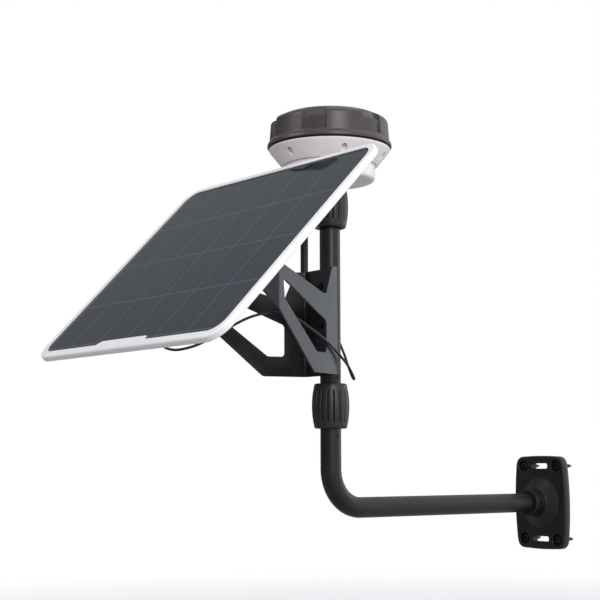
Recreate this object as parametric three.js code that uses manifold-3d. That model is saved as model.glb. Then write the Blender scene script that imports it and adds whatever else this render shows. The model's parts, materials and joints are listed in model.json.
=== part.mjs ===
// Solar powered positioning antenna on an L shaped wall arm.
// Millimetres. The origin is the middle of the wall plate's back: +X runs right along the wall,
// +Y into the wall and +Z up. The mast stands ARM_REACH in front of the wall.

import * as THREE from "three";
import { mergeVertices } from "three/addons/utils/BufferGeometryUtils.js";
import Module from "manifold-3d";

const wasm = await Module();
wasm.setup();

// ---------------------------------------------------------------- driving sizes

const GAP = 0.3; // clearance between neighbouring pieces
const TUBE_R = 14; // arm and mast, outside
const TUBE_WALL = 2;
const TUBE_SIDES = 24;

const ARM_REACH = 430; // wall to mast axis
const ARM_BEND_R = 52;
const ARM_TOP = 128; // upper end of the arm's upright leg
const ARM_PIN_DROP = 33; // below the arm's upper end
const ARM_PIN_R = 1.8;

const PLATE_W = 100;
const PLATE_H = 141;
const PLATE_T = 12;
const PLATE_CORNER = 17;
const PLATE_BULGE = 3;
const PLATE_CHAMFER = 3;
const PLATE_SCREW_X = PLATE_W / 2 - 18;
const PLATE_SCREW_Z = PLATE_H / 2 - 15.5;
const PLATE_SLOT = { width: 32, height: 8 };
const SOCKET_WALL = 6.4;
const SOCKET_R = TUBE_R + GAP + SOCKET_WALL;
const BOSS_R = SOCKET_R + 15.9;
const BOSS_H = 9;
const SOCKET_LENGTH = 20;
const SOCKET_FLOOR = 5;
const WALL_SCREW = { headR: 6, headH: 4, shankR: 2.8, length: 32 };
const SET_SCREW_R = 2.5;

const SLEEVE_WALL = 5; // threaded sleeve between a tube and its collar
const COLLAR_H = 60; // ribbed clamp nuts at both ends of the mast
const COLLAR_BORE_R = TUBE_R + SLEEVE_WALL + 2 * GAP;
const COLLAR_END_R = COLLAR_BORE_R + 2.1;
const COLLAR_BULGE_R = COLLAR_END_R + 3.6;
const COLLAR_GROOVES = 18;
const COLLAR_GROOVE_R = 1.5;
const COLLAR_SIDES = 2 * COLLAR_GROOVES;
const COLLAR_MOUTH = 4; // depth of the bevelled mouth round the mast
const COLLAR_LIP = 7; // depth of the narrow neck at the collar's closed end
const THREAD_SLEEVE_H = 26;
const COLLET_H = 16;

// Heights on the mast are measured from the arm's upper end.
const LOWER_COLLAR_Z = -22;
const SPIGOT_DROP = 38; // mast spigot below the mast's lower end
const SPIGOT_RISE = 34;
const MAST_TOP = 302;
const CABLE_R = 1.7;

// Heights on the bracket are measured from its lower edge.
const BRACKET_Z = LOWER_COLLAR_Z + COLLAR_H + 10;
const SHEET = 3; // bracket sheet
const WEB_HALF = 32.5;
const WEB_H = 144;
const CHEEK_SPLAY = 20;
const CHEEK_REACH = 150; // web bend to tab bend, along the cheek
const BRACKET_SCREWS_Z = [20, 67, 121];
const BRACKET_SCREW_R = 2.5;
const GROMMET_Z = 65;
const GROMMET_ANGLE = 118;

const TILT = 45.7; // of the panel from level
const PIVOT = { y: -190, z: 124.8 }; // from the mast axis and the bracket's lower edge
const PIVOT_END_R = 17; // round end of the bracket's tab
const PIVOT_TO_GLASS = 31;
const PIVOT_TO_CENTRE = 1.9;
const PIVOT_BOLT_R = 3;

const GLASS_W = 390; // glass that shows inside the frame's lip
const GLASS_L = 335;
const FRAME_SIDE = 8.5;
const FRAME_TOP = 9;
const FRAME_BOTTOM = 11.5;
const FRAME_DEPTH = 7;
const FRAME_LIP = 1.5;
const LIP_OVERLAP = 2.5;
const FRAME_CORNER = 27;
const GLASS_CORNER = 20;
const GLASS_T = 3.2;
const CELLS_T = 0.8;
const BACK_T = 1.8;
const LABEL_TAB = { left: -61, right: 49, height: 6.5 };

const RAIL = { x: 65, width: 28, thickness: 2.5 };
const LUG = { thickness: 3, length: 56, endR: 12 };
const JUNCTION_BOX = { width: 74, length: 42, height: 13, wall: 2.5, y: 39.5 - GLASS_L / 2 };
const GLAND_LENGTH = 11;
const GLAND_R = 6;

const HEAD_SIDES = 48;
const CAP_RIM_R = 85.7;
const CAP_R = CAP_RIM_R - 3.7;
const CAP_WALL = 3;
const HOUSING_R = CAP_RIM_R - 2.5;
const HOUSING_FOOT_R = HOUSING_R - 17.2;
const CUP_R = HOUSING_FOOT_R - 3.4;
const CUP_BOTTOM = MAST_TOP + 13;
const CUP_TOP = CUP_BOTTOM + 21;
const HOUSING_TOP = CUP_TOP + 23.5;
const CAP_BOTTOM = HOUSING_TOP + 2.1;
const CAP_SHOULDER = CAP_BOTTOM + 34;
const CAP_TOP = CAP_SHOULDER + 14;
const UPPER_COLLAR_Z = CUP_BOTTOM - 4.6 - COLLAR_H;
const LOBES = 6;
const RECESS_ANGLE = 24;
const RECESS_DEPTH = 3;
const FIRST_RECESS = 4.8; // angle of the first recess from +X
const WHIP = { x: 7.6 - CUP_R, y: 0, r: 5.5, length: 169.4, nutR: 7.5, nutH: 13 };

// ---------------------------------------------------------------- finishes

function finish(color, roughness, metalness = 0) {
  return new THREE.MeshStandardMaterial({ color, roughness, metalness });
}

const BLACK_TUBE = finish(0x242327, 0.45, 0.4);
const BLACK_SHEET = finish(0x4a4d52, 0.5, 0.4);
const BLACK_PLASTIC = finish(0x2a2523, 0.6);
const CAP_PLASTIC = finish(0x565355, 0.5);
const WHITE_PLASTIC = finish(0xe6e2e3, 0.45);
const WHITE_FRAME = finish(0xf0f1f3, 0.4, 0.1);
const GLASS = finish(0x3c464f, 0.15);
const CELLS = finish(0x2b333b, 0.4);
const RUBBER = finish(0x1b1b1c, 0.8);
const STEEL = finish(0x9a9da1, 0.35, 0.9);
const BOARD = finish(0x1f5a3a, 0.6);
const CERAMIC = finish(0xcbbf9e, 0.6);
const BATTERY = finish(0x3d5f93, 0.55);

// ---------------------------------------------------------------- solids

const rad = THREE.MathUtils.degToRad;

/** Keeps only the positions of a geometry, merges them and turns the faces outwards. */
function closed(geometry) {
  let plain = geometry.clone();
  plain.deleteAttribute("normal");
  plain.deleteAttribute("uv");
  plain = mergeVertices(plain, 1e-4);
  const position = plain.attributes.position;
  const index = plain.index.array;
  const [a, b, c] = [new THREE.Vector3(), new THREE.Vector3(), new THREE.Vector3()];
  const kept = [];
  let volume = 0;
  for (let i = 0; i < index.length; i += 3) {
    const [p, q, r] = [index[i], index[i + 1], index[i + 2]];
    if (p === q || q === r || r === p) continue;
    kept.push(p, q, r);
    a.fromBufferAttribute(position, p);
    b.fromBufferAttribute(position, q);
    c.fromBufferAttribute(position, r);
    volume += a.dot(b.cross(c));
  }
  if (volume < 0) kept.reverse();
  plain.setIndex(kept);
  return plain;
}

function toSolid(geometry) {
  const plain = closed(geometry);
  return new wasm.Manifold(new wasm.Mesh({
    numProp: 3,
    vertProperties: new Float32Array(plain.attributes.position.array),
    triVerts: new Uint32Array(plain.index.array),
  }));
}

function toGeometry(solid) {
  const mesh = solid.getMesh();
  const geometry = new THREE.BufferGeometry();
  geometry.setAttribute("position", new THREE.BufferAttribute(new Float32Array(mesh.vertProperties), 3));
  geometry.setIndex(new THREE.BufferAttribute(new Uint32Array(mesh.triVerts), 1));
  return geometry;
}

function join(...geometries) {
  return toGeometry(geometries.map(toSolid).reduce((whole, one) => whole.add(one)));
}

function cut(geometry, ...tools) {
  return toGeometry(tools.map(toSolid).reduce((whole, one) => whole.subtract(one), toSolid(geometry)));
}

function overlap(geometry, other) {
  return toGeometry(toSolid(geometry).intersect(toSolid(other)));
}

/** Turns a closed [radius, z] outline about the Z axis. */
function turned(outline, sides = TUBE_SIDES) {
  const points = [...outline, outline[0]].map(([r, z]) => new THREE.Vector2(r, z));
  return closed(new THREE.LatheGeometry(points, sides).rotateX(Math.PI / 2));
}

function ring(inner, outer, bottom, top, sides = TUBE_SIDES) {
  return turned([[inner, bottom], [outer, bottom], [outer, top], [inner, top]], sides);
}

/** A rod along +Z from bottom to top. */
function rod(radius, bottom, top, sides = 16) {
  const height = top - bottom;
  return new THREE.CylinderGeometry(radius, radius, height, sides)
    .rotateX(Math.PI / 2).translate(0, 0, bottom + height / 2);
}

function block(width, depth, height, x = 0, y = 0, z = 0) {
  return new THREE.BoxGeometry(width, depth, height).translate(x, y, z);
}

/** A plate of the given outline between two heights on Z. */
function plate(shape, bottom, top, curveSegments = 6) {
  return new THREE.ExtrudeGeometry(shape, { depth: top - bottom, bevelEnabled: false, curveSegments })
    .translate(0, 0, bottom);
}

function roundedRect(width, height, radius, x = 0, y = 0) {
  const [right, top] = [width / 2, height / 2];
  const shape = new THREE.Shape();
  shape.absarc(x + right - radius, y + top - radius, radius, 0, Math.PI / 2);
  shape.absarc(x - right + radius, y + top - radius, radius, Math.PI / 2, Math.PI);
  shape.absarc(x - right + radius, y - top + radius, radius, Math.PI, 1.5 * Math.PI);
  shape.absarc(x + right - radius, y - top + radius, radius, 1.5 * Math.PI, 2 * Math.PI);
  return shape;
}

/** A closed outline through straight corners. */
function outline(points) {
  return new THREE.Shape(points.map(([x, y]) => new THREE.Vector2(x, y)));
}

/** A route that places one section at each of its stations, [point, direction]. */
class StationRoute extends THREE.Curve {
  constructor(stations) {
    super();
    this.stations = stations;
  }

  at(u) {
    return this.stations[Math.round(u * (this.stations.length - 1))];
  }

  getPoint(t, target = new THREE.Vector3()) {
    return target.copy(this.at(t)[0]);
  }

  getPointAt(u, target) {
    return this.getPoint(u, target);
  }

  getTangentAt(u, target = new THREE.Vector3()) {
    return target.copy(this.at(u)[1]).normalize();
  }

  getSpacedPoints() {
    return this.stations.map(([point]) => point.clone());
  }
}

/** A round section carried along a route, hollow if a bore radius is given. */
function swept(stations, radius, sides, boreRadius = 0) {
  const section = new THREE.Shape().absarc(0, 0, radius, 0, 2 * Math.PI);
  if (boreRadius > 0) section.holes.push(new THREE.Path().absarc(0, 0, boreRadius, 0, 2 * Math.PI));
  return new THREE.ExtrudeGeometry(section, {
    steps: stations.length - 1,
    extrudePath: new StationRoute(stations),
    curveSegments: sides,
  });
}

// ---------------------------------------------------------------- assembly tree

const group = new THREE.Group();
const mast = new THREE.Group();
const panel = new THREE.Group();
group.add(mast);
mast.add(panel);
mast.position.set(0, -ARM_REACH, ARM_TOP);

const tilt = rad(TILT);
panel.rotation.x = tilt;
panel.position.set(
  0,
  PIVOT.y - Math.sin(tilt) * PIVOT_TO_GLASS + Math.cos(tilt) * PIVOT_TO_CENTRE,
  BRACKET_Z + PIVOT.z + Math.cos(tilt) * PIVOT_TO_GLASS + Math.sin(tilt) * PIVOT_TO_CENTRE,
);

function add(parent, name, geometry, material) {
  const mesh = new THREE.Mesh(closed(geometry), material);
  mesh.name = name;
  parent.add(mesh);
  return mesh;
}

// ---------------------------------------------------------------- wall plate and arm

/** The plate's outline: long sides that bulge a little, and round corners. */
function wallPlateOutline() {
  const [x, z] = [PLATE_W / 2 - PLATE_BULGE, PLATE_H / 2];
  const c = PLATE_CORNER;
  const shape = new THREE.Shape();
  shape.moveTo(x, -z + c);
  shape.quadraticCurveTo(x + 2 * PLATE_BULGE, 0, x, z - c);
  shape.quadraticCurveTo(x - 1, z, x - c, z - 1);
  shape.quadraticCurveTo(0, z + 1, -x + c, z - 1);
  shape.quadraticCurveTo(-x + 1, z, -x, z - c);
  shape.quadraticCurveTo(-x - 2 * PLATE_BULGE, 0, -x, -z + c);
  shape.quadraticCurveTo(-x + 1, -z, -x + c, -z + 1);
  shape.quadraticCurveTo(0, -z - 1, x - c, -z + 1);
  shape.quadraticCurveTo(x - 1, -z, x, -z + c);
  return shape;
}

const PLATE_SCREWS = [[-1, 1], [1, 1], [-1, -1], [1, -1]]
  .map(([x, z]) => [x * PLATE_SCREW_X, z * PLATE_SCREW_Z]);
const COUNTERBORE = { radius: WALL_SCREW.headR + 2.5, depth: 6 };

/** Built lying down, with its back at z = 0 and its front up, then stood against the wall. */
function wallPlate() {
  const slab = new THREE.ExtrudeGeometry(wallPlateOutline(), {
    depth: PLATE_T,
    bevelEnabled: true,
    bevelThickness: PLATE_CHAMFER,
    bevelSize: PLATE_CHAMFER,
    bevelOffset: -PLATE_CHAMFER,
    bevelSegments: 2,
    curveSegments: 5,
  }).translate(0, 0, -PLATE_CHAMFER);
  const keep = block(2 * PLATE_W, 2 * PLATE_H, PLATE_T, 0, 0, PLATE_T / 2);
  const socketFront = PLATE_T + BOSS_H + SOCKET_LENGTH;
  const boss = turned([
    [0, 1],
    [BOSS_R, PLATE_T - 1],
    [BOSS_R, PLATE_T],
    [SOCKET_R + 1.5, PLATE_T + BOSS_H],
    [SOCKET_R, PLATE_T + BOSS_H + 1.5],
    [SOCKET_R, socketFront - 1.5],
    [SOCKET_R - 1.5, socketFront],
    [0, socketFront],
  ], 40);
  const holes = PLATE_SCREWS.flatMap(([x, z]) => [
    rod(WALL_SCREW.shankR + GAP + 0.4, -1, PLATE_T + 1, 10).translate(x, z, 0),
    rod(COUNTERBORE.radius, PLATE_T - COUNTERBORE.depth, PLATE_T + 1, 14).translate(x, z, 0),
  ]);
  const slots = [-1, 1].map((side) => plate(
    roundedRect(PLATE_SLOT.width, PLATE_SLOT.height, 2.5, 0, side * PLATE_SCREW_Z),
    -1,
    PLATE_T + 1,
    3,
  ));
  const bore = rod(TUBE_R + GAP, SOCKET_FLOOR, socketFront + 1, TUBE_SIDES);
  const setScrewHole = rod(SET_SCREW_R + GAP, 0, SOCKET_R + 2, 12)
    .rotateY(Math.PI / 2).translate(0, 0, socketFront - 10);
  const body = join(overlap(slab, keep), boss);
  return cut(body, bore, setScrewHole, ...holes, ...slots).rotateX(Math.PI / 2);
}

function wallScrew() {
  const { headR, headH, shankR, length } = WALL_SCREW;
  const socket = rod(2.6, headH - 2.2, headH + 1, 6);
  const screw = turned([
    [0, -length],
    [shankR * 0.3, -length],
    [shankR, -length + 7],
    [shankR, 0],
    [headR, 0],
    [headR, headH - 1],
    [headR - 1, headH],
    [0, headH],
  ], 16);
  return cut(screw, socket).rotateX(Math.PI / 2);
}

/** Straight, a quarter bend and straight again, in the plane x = 0. */
function armStations() {
  const start = -SOCKET_FLOOR - GAP;
  const stations = [[new THREE.Vector3(0, start, 0), new THREE.Vector3(0, -1, 0)]];
  const bendSteps = 10;
  for (let i = 0; i <= bendSteps; i++) {
    const angle = (i / bendSteps) * Math.PI / 2;
    stations.push([
      new THREE.Vector3(
        0,
        -ARM_REACH + ARM_BEND_R * (1 - Math.sin(angle)),
        ARM_BEND_R * (1 - Math.cos(angle)),
      ),
      new THREE.Vector3(0, -Math.cos(angle), Math.sin(angle)),
    ]);
  }
  stations.push([new THREE.Vector3(0, -ARM_REACH, ARM_TOP), new THREE.Vector3(0, 0, 1)]);
  return stations;
}

function armTube() {
  const tube = swept(armStations(), TUBE_R, TUBE_SIDES / 2, TUBE_R - TUBE_WALL);
  const pinHole = rod(ARM_PIN_R + GAP, 0, TUBE_R + 2, 12)
    .rotateY(Math.PI / 2).translate(0, -ARM_REACH, ARM_TOP - ARM_PIN_DROP);
  return cut(tube, pinHole);
}

add(group, "wall_plate", wallPlate(), BLACK_TUBE);
PLATE_SCREWS.forEach(([x, z], i) => {
  const seat = PLATE_T - COUNTERBORE.depth + GAP;
  add(group, `wall_screw_${i + 1}`, wallScrew().translate(x, -seat, z), STEEL);
});
add(
  group,
  "socket_set_screw",
  rod(SET_SCREW_R, TUBE_R + GAP, SOCKET_R - 0.6, 12).rotateY(Math.PI / 2)
    .translate(0, -(PLATE_T + BOSS_H + SOCKET_LENGTH - 10), 0),
  STEEL,
);
add(group, "arm_tube", armTube(), BLACK_TUBE);

// ---------------------------------------------------------------- mast joints

const MAST_BOTTOM = 1; // just above the arm
const SPIGOT_R = TUBE_R - TUBE_WALL - GAP;
const SLEEVE_R = COLLAR_BORE_R - GAP;
const COLLAR_TAPER_R = SLEEVE_R - 2.6;

add(
  group,
  "arm_thread_sleeve",
  ring(TUBE_R + GAP, SLEEVE_R, ARM_TOP - THREAD_SLEEVE_H + 8, ARM_TOP + 8).translate(0, -ARM_REACH, 0),
  STEEL,
);
add(
  group,
  "arm_pin",
  turned([
    [0, SPIGOT_R + GAP],
    [ARM_PIN_R, SPIGOT_R + GAP],
    [ARM_PIN_R, TUBE_R - 0.4],
    [ARM_PIN_R - 0.5, TUBE_R],
    [0, TUBE_R],
  ], 12).rotateY(Math.PI / 2).translate(0, -ARM_REACH, ARM_TOP - ARM_PIN_DROP),
  STEEL,
);

/** Barrel shaped nut with grooves down its side. Its open, wide bore is at z = 0. */
function collar() {
  const middle = COLLAR_H / 2;
  const rows = 4;
  const side = [];
  for (let i = 0; i <= rows; i++) {
    const z = 2.5 + (COLLAR_H - 5) * (i / rows);
    const away = (z - middle) / middle;
    side.push([COLLAR_BULGE_R - (COLLAR_BULGE_R - COLLAR_END_R) * away * away, z]);
  }
  const taperTop = COLLAR_H - COLLAR_LIP;
  const barrel = turned([
    [COLLAR_BORE_R, 0],
    [COLLAR_END_R - 1.4, 0],
    ...side,
    [COLLAR_END_R - 1.4, COLLAR_H],
    [COLLAR_END_R - 2.6, COLLAR_H],
    [TUBE_R + 2 * GAP, COLLAR_H - COLLAR_MOUTH],
    [TUBE_R + 2 * GAP, taperTop],
    [COLLAR_TAPER_R + GAP, taperTop],
    [COLLAR_BORE_R, taperTop - COLLET_H],
  ], COLLAR_SIDES);
  const grooves = [];
  for (let i = 0; i < COLLAR_GROOVES; i++) {
    const angle = (i + 0.5) * 2 * Math.PI / COLLAR_GROOVES;
    grooves.push(
      rod(COLLAR_GROOVE_R, 6, COLLAR_H - 9, 4)
        .translate(COLLAR_BULGE_R - 0.5, 0, 0)
        .rotateZ(angle),
    );
  }
  return cut(barrel, ...grooves);
}

/** Split ring that the collar's taper squeezes onto the mast. */
function collet() {
  const cone = turned([
    [TUBE_R + GAP, 0],
    [SLEEVE_R - 0.6, 0],
    [COLLAR_TAPER_R - 0.2, COLLET_H - 1.5],
    [TUBE_R + GAP, COLLET_H - 1.5],
  ]);
  return cut(cone, block(SLEEVE_R, 2.4, 3 * COLLET_H, SLEEVE_R / 2 + 8, 0, 0).translate(0, 0, COLLET_H / 2));
}

const COLLET_Z = COLLAR_H - COLLAR_LIP - COLLET_H + 0.8;
const upsideDown = (geometry, z) => geometry.rotateX(Math.PI).translate(0, 0, z);

add(mast, "lower_collar", collar().translate(0, 0, LOWER_COLLAR_Z), BLACK_PLASTIC);
add(mast, "upper_collar", upsideDown(collar(), UPPER_COLLAR_Z + COLLAR_H), BLACK_PLASTIC);
add(mast, "lower_collet", collet().translate(0, 0, LOWER_COLLAR_Z + COLLET_Z), WHITE_PLASTIC);
add(mast, "upper_collet", upsideDown(collet(), UPPER_COLLAR_Z + COLLAR_H - COLLET_Z), WHITE_PLASTIC);

const grommetAt = (geometry) => geometry.rotateY(Math.PI / 2).rotateZ(rad(GROMMET_ANGLE))
  .translate(0, 0, BRACKET_Z + GROMMET_Z);
const GROMMET_NECK_R = 4.2;
const GROMMET_FLANGE_R = 6;
const GROMMET_FACE = TUBE_R + 4;

function mastTube() {
  const tube = ring(TUBE_R - TUBE_WALL, TUBE_R, MAST_BOTTOM, MAST_TOP);
  const screwHoles = BRACKET_SCREWS_Z.map((z) => rod(BRACKET_SCREW_R + GAP, 0, TUBE_R + 2, 12)
    .rotateX(Math.PI / 2).translate(0, 0, BRACKET_Z + z));
  const grommetHole = grommetAt(rod(GROMMET_NECK_R + GAP, 0, TUBE_R + 3, 16));
  return cut(tube, ...screwHoles, grommetHole);
}

function cableGrommet() {
  return grommetAt(turned([
    [CABLE_R + GAP, TUBE_R - TUBE_WALL - 0.5],
    [GROMMET_NECK_R, TUBE_R - TUBE_WALL - 0.5],
    [GROMMET_NECK_R, TUBE_R + 1.6],
    [GROMMET_FLANGE_R, TUBE_R + 1.6],
    [GROMMET_FLANGE_R - 0.8, TUBE_R + 3],
    [CABLE_R + 1.4, GROMMET_FACE],
    [CABLE_R + GAP, GROMMET_FACE],
  ], 20));
}

add(mast, "mast_tube", mastTube(), BLACK_TUBE);
add(
  mast,
  "mast_spigot",
  ring(SPIGOT_R - 2, SPIGOT_R, MAST_BOTTOM - SPIGOT_DROP, MAST_BOTTOM + SPIGOT_RISE),
  STEEL,
);
add(mast, "cable_grommet", cableGrommet(), RUBBER);

// ---------------------------------------------------------------- panel bracket

const WEB_BACK = -TUBE_R - GAP;
const WEB_MIDDLE = WEB_BACK - SHEET / 2;
const splay = rad(CHEEK_SPLAY);
const TAB_X = WEB_HALF + CHEEK_REACH * Math.sin(splay);
const TAB_Y = WEB_MIDDLE - CHEEK_REACH * Math.cos(splay);
const ARM_SLOPE = 0.86; // rise of the lower strut's edge along the cheek
const STRUT_SLOPE = 0.264;
const LOWER_BEND_Z = 76; // lower edge at the tab bend
const UPPER_BEND_Z = 134.3; // upper edge at the tab bend

/** The right cheek, seen flat: x is the distance from the web, y is the height on the bracket. */
function cheekPlate() {
  const lowerRun = LOWER_BEND_Z / ARM_SLOPE;
  const upperRun = CHEEK_REACH - 39;
  const profile = outline([
    [0, 0],
    [CHEEK_REACH - lowerRun, 0],
    [CHEEK_REACH, LOWER_BEND_Z],
    [CHEEK_REACH, UPPER_BEND_Z],
    [CHEEK_REACH - upperRun, UPPER_BEND_Z - STRUT_SLOPE * upperRun],
    [31, 105],
    [15, WEB_H - 1],
    [0, WEB_H],
  ]);
  const window = new THREE.Shape();
  window.moveTo(31, 64);
  window.lineTo(31, 32);
  window.quadraticCurveTo(31, 27, 36, 27);
  window.lineTo(51, 27);
  window.quadraticCurveTo(56, 27, 62, 32);
  window.lineTo(CHEEK_REACH - 19, 85);
  window.quadraticCurveTo(CHEEK_REACH - 15, 88, CHEEK_REACH - 14, 93);
  window.lineTo(CHEEK_REACH - 12, 110);
  window.quadraticCurveTo(CHEEK_REACH - 12, 113.5, CHEEK_REACH - 16, 112);
  window.lineTo(37, 72);
  window.quadraticCurveTo(31, 69.5, 31, 64);
  profile.holes.push(window);
  return plate(profile, -SHEET / 2, SHEET / 2, 4);
}

/** The tab beyond the cheek's bend, in the plane x = 0, with y forward from the bend. */
function tabPlate() {
  const pivot = new THREE.Vector2(TAB_Y - PIVOT.y, PIVOT.z);
  const upper = new THREE.Vector2(-STRUT_SLOPE, 1).normalize().multiplyScalar(PIVOT_END_R);
  const lower = new THREE.Vector2(ARM_SLOPE, -1).normalize().multiplyScalar(PIVOT_END_R);
  const shape = new THREE.Shape();
  shape.moveTo(0, UPPER_BEND_Z);
  shape.lineTo(0, LOWER_BEND_Z);
  shape.lineTo(pivot.x + lower.x, pivot.y + lower.y);
  shape.absarc(pivot.x, pivot.y, PIVOT_END_R, lower.angle() - 2 * Math.PI, upper.angle(), false);
  const hole = new THREE.Path().absarc(pivot.x, pivot.y, PIVOT_BOLT_R + GAP, 0, 2 * Math.PI);
  shape.holes.push(hole);
  return plate(shape, -SHEET / 2, SHEET / 2, 8);
}

/** Stands a flat outline up: its x runs forward from the mast and its y is the height on the bracket. */
function standing(geometry, turn, x, y) {
  return geometry.rotateX(Math.PI / 2).rotateZ(-Math.PI / 2 + turn).translate(x, y, 0);
}

function panelBracket() {
  const pieces = [block(2 * WEB_HALF, SHEET, WEB_H, 0, WEB_MIDDLE, WEB_H / 2)];
  for (const side of [-1, 1]) {
    pieces.push(standing(cheekPlate(), side * splay, side * WEB_HALF, WEB_MIDDLE));
    pieces.push(standing(tabPlate(), 0, side * TAB_X, TAB_Y));
    const webBend = rod(SHEET / 2, 0, WEB_H, 12).translate(side * WEB_HALF, WEB_MIDDLE, 0);
    const tabBend = rod(SHEET / 2, LOWER_BEND_Z, UPPER_BEND_Z, 12).translate(side * TAB_X, TAB_Y, 0);
    pieces.push(webBend, tabBend);
  }
  const holes = BRACKET_SCREWS_Z.map((z) => rod(BRACKET_SCREW_R + GAP, 0, TUBE_R + 12, 12)
    .rotateX(Math.PI / 2).translate(0, 0, z));
  return cut(join(...pieces), ...holes).translate(0, 0, BRACKET_Z);
}

const WEB_FRONT = WEB_BACK - SHEET;
const STRIP = { width: 9, thickness: 3 };
const STRIP_FRONT = -Math.sqrt((TUBE_R - TUBE_WALL) ** 2 - (STRIP.width / 2) ** 2) + 2 * GAP;

function bracketScrew(z) {
  const seat = WEB_FRONT - GAP;
  const head = turned([[0, 0], [4.6, 0], [4.4, 1.8], [3.2, 2.8], [0, 2.8]], 16);
  const shank = rod(BRACKET_SCREW_R, seat - STRIP_FRONT - STRIP.thickness, 0.5, 12);
  const drive = rod(1.7, 1, 4, 6);
  return cut(join(head, shank), drive).rotateX(Math.PI / 2).translate(0, seat, BRACKET_Z + z);
}

function nutStrip() {
  const [bottom, top] = [BRACKET_SCREWS_Z[0] - 12, BRACKET_SCREWS_Z.at(-1) + 12];
  const bar = block(
    STRIP.width,
    STRIP.thickness,
    top - bottom,
    0,
    STRIP_FRONT + STRIP.thickness / 2,
    (top + bottom) / 2,
  );
  const holes = BRACKET_SCREWS_Z.map((z) => rod(BRACKET_SCREW_R + GAP, 0, TUBE_R, 12)
    .rotateX(Math.PI / 2).translate(0, 0, z));
  return cut(bar, ...holes).translate(0, 0, BRACKET_Z);
}

/** Hexagon bolt along +X, its head's seat at x = 0 and its shank towards -X. */
function pivotBolt(length) {
  const head = rod(5.8, 0, 4, 6);
  const shank = rod(PIVOT_BOLT_R, -length, 1, 12);
  return join(head, shank).rotateY(Math.PI / 2);
}

const TAB_FACE = TAB_X + SHEET / 2;
const LUG_OUTER = TAB_X - SHEET / 2 - GAP;
const LUG_INNER = LUG_OUTER - LUG.thickness;

add(mast, "panel_bracket", panelBracket(), BLACK_SHEET);
add(mast, "mast_nut_strip", nutStrip(), STEEL);
BRACKET_SCREWS_Z.forEach((z, i) => add(mast, `bracket_screw_${i + 1}`, bracketScrew(z), STEEL));
for (const [side, name] of [[-1, "left"], [1, "right"]]) {
  const bolt = pivotBolt(TAB_FACE - LUG_INNER + 9).translate(TAB_FACE + GAP, 0, 0);
  const nut = cut(rod(5.8, 0, 5, 6), rod(PIVOT_BOLT_R + GAP, -1, 6, 12))
    .rotateY(Math.PI / 2).translate(LUG_INNER - GAP - 5, 0, 0);
  if (side < 0) {
    bolt.rotateZ(Math.PI);
    nut.rotateZ(Math.PI);
  }
  add(mast, `pivot_bolt_${name}`, bolt.translate(0, PIVOT.y, BRACKET_Z + PIVOT.z), STEEL);
  add(mast, `pivot_nut_${name}`, nut.translate(0, PIVOT.y, BRACKET_Z + PIVOT.z), STEEL);
}

// ---------------------------------------------------------------- solar panel

const FRAME_W = GLASS_W + 2 * FRAME_SIDE;
const FRAME_L = GLASS_L + FRAME_TOP + FRAME_BOTTOM;
const FRAME_Y = (FRAME_TOP - FRAME_BOTTOM) / 2;
const SHEET_W = GLASS_W + 2 * LIP_OVERLAP;
const SHEET_L = GLASS_L + 2 * LIP_OVERLAP;
const GLASS_BOTTOM = -GAP - GLASS_T;
const CELLS_BOTTOM = GLASS_BOTTOM - GAP - CELLS_T;
const BACK_BOTTOM = CELLS_BOTTOM - GAP - BACK_T;
const RAIL_BOTTOM = -FRAME_DEPTH - GAP - RAIL.thickness;

/** The lip's opening, with the tab that the lip throws out over the glass at the lower edge. */
function lipOpening() {
  const [x, y, c] = [GLASS_W / 2, GLASS_L / 2, GLASS_CORNER];
  const { left, right, height } = LABEL_TAB;
  const shape = new THREE.Shape();
  shape.moveTo(x, y - c);
  shape.absarc(x - c, y - c, c, 0, Math.PI / 2);
  shape.absarc(-x + c, y - c, c, Math.PI / 2, Math.PI);
  shape.absarc(-x + c, -y + c, c, Math.PI, 1.5 * Math.PI);
  shape.lineTo(left, -y);
  shape.quadraticCurveTo(left + 4, -y, left + 8, -y + height);
  shape.lineTo(right - 7, -y + height);
  shape.quadraticCurveTo(right - 2, -y + height, right, -y);
  shape.absarc(x - c, -y + c, c, 1.5 * Math.PI, 2 * Math.PI);
  return shape;
}

function panelFrame() {
  const bar = 2.2; // rounding of the frame's outer edges
  const outer = new THREE.ExtrudeGeometry(roundedRect(FRAME_W, FRAME_L, FRAME_CORNER, 0, FRAME_Y), {
    depth: FRAME_DEPTH + FRAME_LIP - 2 * bar,
    bevelEnabled: true,
    bevelThickness: bar,
    bevelSize: bar,
    bevelOffset: -bar,
    bevelSegments: 2,
    curveSegments: 8,
  }).translate(0, 0, -FRAME_DEPTH + bar);
  const opening = plate(lipOpening(), -1, FRAME_LIP + 1, 6);
  const pocket = plate(
    roundedRect(SHEET_W + 2 * GAP, SHEET_L + 2 * GAP, GLASS_CORNER + LIP_OVERLAP),
    -FRAME_DEPTH - 1,
    0,
    6,
  );
  return cut(outer, opening, pocket);
}

function laminate(bottom, top) {
  return plate(roundedRect(SHEET_W, SHEET_L, GLASS_CORNER + LIP_OVERLAP - GAP), bottom, top, 5);
}

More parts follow.
